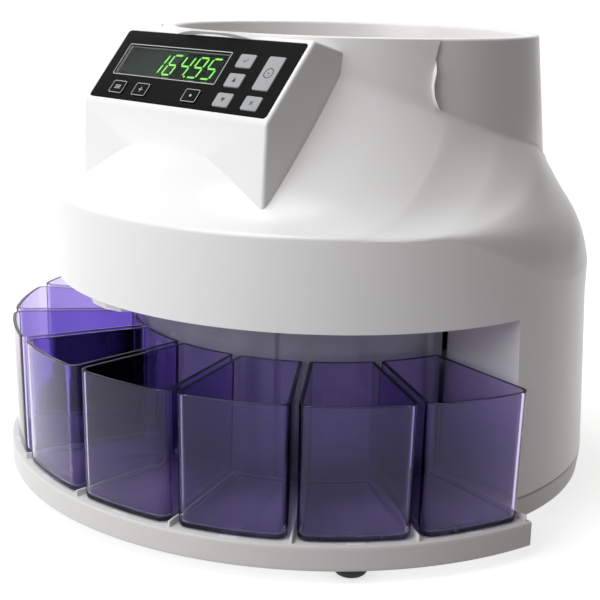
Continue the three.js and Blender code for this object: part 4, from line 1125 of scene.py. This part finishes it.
def bin_outline(inset, draft, z):
    """Outline of one bin facing the front, before it is turned to its bearing."""
    half = math.radians(BIN_PITCH / 2)
    outer = BIN_OUTER_RADIUS - inset - draft
    inner = BIN_INNER_RADIUS + inset + draft * 0.3
    side = BIN_SIDE_GAP + inset + draft * 0.2
    corner = BIN_CORNER - inset
    inner_corner = 2.6 - min(inset, 1.6)

    def bearing_at(radius, margin):
        return half - math.asin((side + margin) / radius)

    def fillet(centre_radius, radius, mirror, start, end, steps):
        bearing = mirror * math.degrees(bearing_at(centre_radius, radius))
        centre = polar(centre_radius, bearing, z)
        turns = [bearing + mirror * lerp(start, end, i / steps) for i in range(steps + 1)]
        return [centre + polar(radius, turn) for turn in turns]

    def arc(radius, start, end, steps):
        return [polar(radius, math.degrees(lerp(start, end, i / steps)), z) for i in range(1, steps)]

    outer_end = bearing_at(outer - corner, corner)
    inner_end = bearing_at(inner + inner_corner, inner_corner)
    outer_turn = 90 + BIN_PITCH / 2 - math.degrees(outer_end)
    inner_turn = 90 + BIN_PITCH / 2 - math.degrees(inner_end)
    return [
        *arc(outer, -outer_end, outer_end, 20),
        *fillet(outer - corner, corner, 1, 0, outer_turn, 9),
        *fillet(inner + inner_corner, inner_corner, 1, inner_turn, 180, 6),
        *arc(inner, inner_end, -inner_end, 12),
        *fillet(inner + inner_corner, inner_corner, -1, 180, inner_turn, 6),
        *fillet(outer - corner, corner, -1, outer_turn, 0, 9),
    ]


def coin_bin(index):
    bottom = BASE_TOP + SEAT_GAP
    rim = 0.35
    inner_foot = bottom + BIN_WALL
    # Up the outside, over the rim and down the inside: inset, draft and height.
    levels = [
        (1.6, BIN_DRAFT, bottom), (0.8, BIN_DRAFT, bottom + 0.25), (0.2, BIN_DRAFT, bottom + 0.9),
        (0, BIN_DRAFT, bottom + 1.9), (0, 0.05, BIN_TOP - 1.0), (0, 0, BIN_TOP - rim),
        (rim * 0.3, 0, BIN_TOP - rim * 0.3), (rim, 0, BIN_TOP), (BIN_WALL - rim, 0, BIN_TOP),
        (BIN_WALL - rim * 0.3, 0, BIN_TOP - rim * 0.3), (BIN_WALL, 0, BIN_TOP - rim),
        (BIN_WALL, 0.05, BIN_TOP - 1.0), (BIN_WALL, BIN_DRAFT, inner_foot + 1.8),
        (BIN_WALL + 0.3, BIN_DRAFT, inner_foot + 0.8), (BIN_WALL + 1.0, BIN_DRAFT, inner_foot + 0.2),
        (BIN_WALL + 2.0, BIN_DRAFT, inner_foot),
    ]
    cup = loft("cup", [bin_outline(*level) for level in levels], VIOLET, sharp_angle=40)
    cup.data.materials.append(VIOLET_EDGE)
    for face in cup.data.polygons:
        z = face.center.z / MM
        if z > BIN_TOP - rim or (z < bottom + 0.9 and face.normal.z < 0.9 and len(face.vertices) == 4):
            face.material_index = 1
    piece = turn_about_axis(cup, BIN_BEARINGS[index])
    piece.name = f"bin_{index + 1}_cup"
    stand(piece, f"bin_{index + 1}", "bin", f"coin_bin_{index + 1}")


# ---------------- drum behind the bins


DRUM_HALF_ANGLE = 81.5
DRUM_WALL = 2.4
SEAM_BEARINGS = (-76, -31, 31, 76)
SEAM_HALF_WIDTH = 0.75  # degrees
SEAM_DEPTH = 1.1


def inner_drum():
    """The satin column behind the bins, with its upright seams."""
    outline = []
    for i in range(163):
        bearing = lerp(-DRUM_HALF_ANGLE, DRUM_HALF_ANGLE, i / 162)
        depth = max(0.0, *(1 - abs(bearing - at) / SEAM_HALF_WIDTH for at in SEAM_BEARINGS))
        outline.append(polar(DRUM_RADIUS - SEAM_DEPTH * min(1, depth * 1.6), bearing))
    outline += arc_points(DRUM_RADIUS - DRUM_WALL, DRUM_HALF_ANGLE, -DRUM_HALF_ANGLE, 80, 0)
    levels = (BASE_TOP + SEAT_GAP, 60, 100, DECK_BOTTOM - SEAT_GAP)
    rings = [[(p.x, p.y, z) for p in outline] for z in levels]
    drum = loft("drum_column", rings, DRUM_GREY, sharp_angle=24)
    stand(drum, "housing", "drum", "inner_drum")


# ---------------- control panel


def key_spec(name, u, v, mark, depth=KEY_DEPTH, dark=False):
    return {"name": name, "u": u, "v": v, "mark": mark, "depth": depth, "dark": dark}


KEYS = [
    key_spec("key_enter", KEY_COLUMN_A, 30.8, "tick"),
    key_spec("key_up", KEY_COLUMN_A, 19, "up"),
    key_spec("key_down", KEY_COLUMN_A, 7.1, "down"),
    key_spec("key_start_stop", KEY_COLUMN_B, 24.9, "ring", START_KEY_DEPTH),
    key_spec("key_clear", KEY_COLUMN_B, 7.1, "cross"),
    key_spec("key_report", 19.2, 7.2, "lines", dark=True),
    key_spec("key_add", 38.2, 7.2, "plus", dark=True),
    key_spec("key_set", 77.5, 7.2, "dot", dark=True),
]
PRINT_THICKNESS = 0.06
PRINT_SINK = 0.02


def panel_overlay():
    size = PANEL_WIDTH, PANEL_HEIGHT
    film = panel_block("panel_film", *size, *PANEL_MIDDLE, -PANEL_THICKNESS, 0, BLACK_FILM, 2, 0.12, 8)
    for hole in panel_holes(3, BLACK_FILM):
        boolean(film, hole)
    clean(film, 30)
    width, depth = WINDOW["width"] + 2.2, WINDOW["depth"] + 2.2
    border = printed_frame("printed_frame", width, depth, WINDOW["u"], WINDOW["v"], 0.4, 0, MARK_LIGHT, 0.9)
    piece = to_panel(join("panel_film", [film, border]))
    stand(piece, "housing", "overlay", "panel_overlay")


def printed(name, outline, base, material):
    """A printed mark: a thin raised layer on a face of the panel."""
    points = [(u - PANEL_MIDDLE[0], v - PANEL_MIDDLE[1]) for u, v in outline]
    return slab(name, points, base - PRINT_SINK, base + PRINT_THICKNESS, material)


def printed_frame(name, width, depth, u, v, line, base, material, radius, steps=6):
    """A printed outline with rounded corners; with full corners it is a ring."""
    outer = rounded_rectangle(width, depth, radius, u, v, steps)
    inner = rounded_rectangle(width - 2 * line, depth - 2 * line, max(0.1, radius - line), u, v, steps)
    low, high = base - PRINT_SINK, base + PRINT_THICKNESS
    rings = []
    for outline, z in ((outer, low), (outer, high), (inner, high), (inner, low)):
        rings.append([(u - PANEL_MIDDLE[0], v - PANEL_MIDDLE[1], z) for u, v in outline])
    return loft(name, rings, material, rings_close=True)


def bar(u, v, length, thickness, angle, base, material):
    turn = math.radians(angle)
    corners = []
    for x, y in ((-1, -1), (1, -1), (1, 1), (-1, 1)):
        a, b = x * length / 2, y * thickness / 2
        across = a * math.cos(turn) - b * math.sin(turn)
        up = a * math.sin(turn) + b * math.cos(turn)
        corners.append((u + across, v + up))
    return printed("bar", corners, base, material)


def key_marks(key, base):
    """Generic signs on the key caps: arrows, a ring, a tick, a cross, lines, a plus and a dot."""
    u, v, kind = key["u"], key["v"], key["mark"]
    ink = MARK_LIGHT if key["dark"] else MARK_DARK
    marks = []
    if kind in ("up", "down"):
        flip = 1 if kind == "up" else -1
        foot = v - flip * 1.1
        marks.append(printed("arrow", [(u - 1.35, foot), (u + 1.35, foot), (u, v + flip * 1.5)], base, ink))
    elif kind == "ring":
        marks.append(printed_frame("printed_ring", 6, 6, u, v, 0.45, base, ink, 3, 10))
        marks.append(printed("centre", rounded_rectangle(1, 1, 0.5, u, v), base, ink))
    elif kind == "tick":
        marks.append(bar(u - 0.9, v - 0.3, 1.7, 0.38, -45, base, ink))
        marks.append(bar(u + 0.65, v + 0.25, 2.9, 0.38, 50, base, ink))
    elif kind == "cross":
        marks += [bar(u, v, 2.9, 0.38, angle, base, ink) for angle in (45, -45)]
    elif kind == "lines":
        marks += [bar(u, v + step, 4.4, 0.36, 0, base, ink) for step in (-0.9, 0, 0.9)]
    elif kind == "plus":
        marks += [bar(u, v, 3, 0.4, angle, base, ink) for angle in (0, 90)]
    else:
        marks.append(printed("dot", rounded_rectangle(1.5, 1.5, 0.75, u, v), base, ink))
    if key["dark"]:
        width, depth = KEY_WIDTH - 0.5, key["depth"] - 0.5
        marks.append(printed_frame("printed_frame", width, depth, u, v, 0.28, base, ink, 1.0))
    return marks


def keys():
    for key in KEYS:
        material = KEY_BLACK if key["dark"] else KEY_GREY
        u, v = key["u"], key["v"]
        cap = panel_block("cap", KEY_WIDTH, key["depth"], u, v, -2.4, KEY_PROUD, material, 1.1, 0.3)
        stem = panel_block("stem", 3, 3, u, v, -4.6, -2.3, material, 0.6)
        piece = to_panel(join(f"{key['name']}_cap", [cap, stem, *key_marks(key, KEY_PROUD)]))
        stand(piece, key["name"], "key_black" if key["dark"] else "key_grey", key["name"])


def display_window():
    spot = WINDOW["width"], WINDOW["depth"], WINDOW["u"], WINDOW["v"]
    glass = panel_block("window_pane", *spot, -1.2, -0.1, WINDOW_GLASS, 0.8, 0.15)
    stand(to_panel(glass), "housing", "window", "display_window")


# Segments of a digit: a top, b and c right, d bottom, e and f left, g middle.
LIT_SEGMENTS = {"1": "bc", "6": "acdefg", "4": "bcfg", "9": "abcdfg", "5": "acdfg"}
DIGIT_WIDTH = 6.4
DIGIT_HEIGHT = 12.4
DIGIT_PITCH = 10.1
DIGIT_SLANT = 0.2
FIRST_DIGIT_U = 36.6
DIGIT_BOTTOM_V = 19.2
DIGIT_LEVEL = -1.95
SEGMENT_THICKNESS = 1.1
SEGMENT_GAP = 0.35


def segment_line(name):
    w, h = DIGIT_WIDTH, DIGIT_HEIGHT
    return {
        "a": ((0, h), (w, h)), "b": ((w, h / 2), (w, h)), "c": ((w, 0), (w, h / 2)), "d": ((0, 0), (w, 0)),
        "e": ((0, 0), (0, h / 2)), "f": ((0, h / 2), (0, h)), "g": ((0, h / 2), (w, h / 2)),
    }[name]


def digit(figure, u):
    pieces = []
    for name in LIT_SEGMENTS[figure]:
        start, end = (Vector(point) for point in segment_line(name))
        way = (end - start).normalized()
        side = Vector((-way.y, way.x)) * SEGMENT_THICKNESS / 2
        start += way * SEGMENT_GAP
        end -= way * SEGMENT_GAP
        tip = way * SEGMENT_THICKNESS / 2
        outline = [start, start + tip + side, end - tip + side, end, end - tip - side, start + tip - side]
        slanted = [(u + p.x + p.y * DIGIT_SLANT, DIGIT_BOTTOM_V + p.y) for p in outline]
        pieces.append(printed("segment", slanted, DIGIT_LEVEL, LIT))
    return pieces


def display_figures():
    pieces = []
    for i, figure in enumerate("16495"):
        pieces += digit(figure, FIRST_DIGIT_U - DIGIT_WIDTH / 2 + i * DIGIT_PITCH)
    point_u = FIRST_DIGIT_U - DIGIT_WIDTH / 2 + 3 * DIGIT_PITCH - 1.9
    point = rounded_rectangle(1.2, 1.2, 0.5, point_u, DIGIT_BOTTOM_V)
    pieces.append(printed("point", point, DIGIT_LEVEL, LIT))
    stand(to_panel(join("display_figures", pieces)), "housing", "display")


# ---------------- assembly

upper_cover()
hopper()
feed_disc()
hub_cap()
base_tray()
feet()
for number in range(BIN_COUNT):
    coin_bin(number)
inner_drum()
panel_overlay()
keys()
display_window()
display_figures()
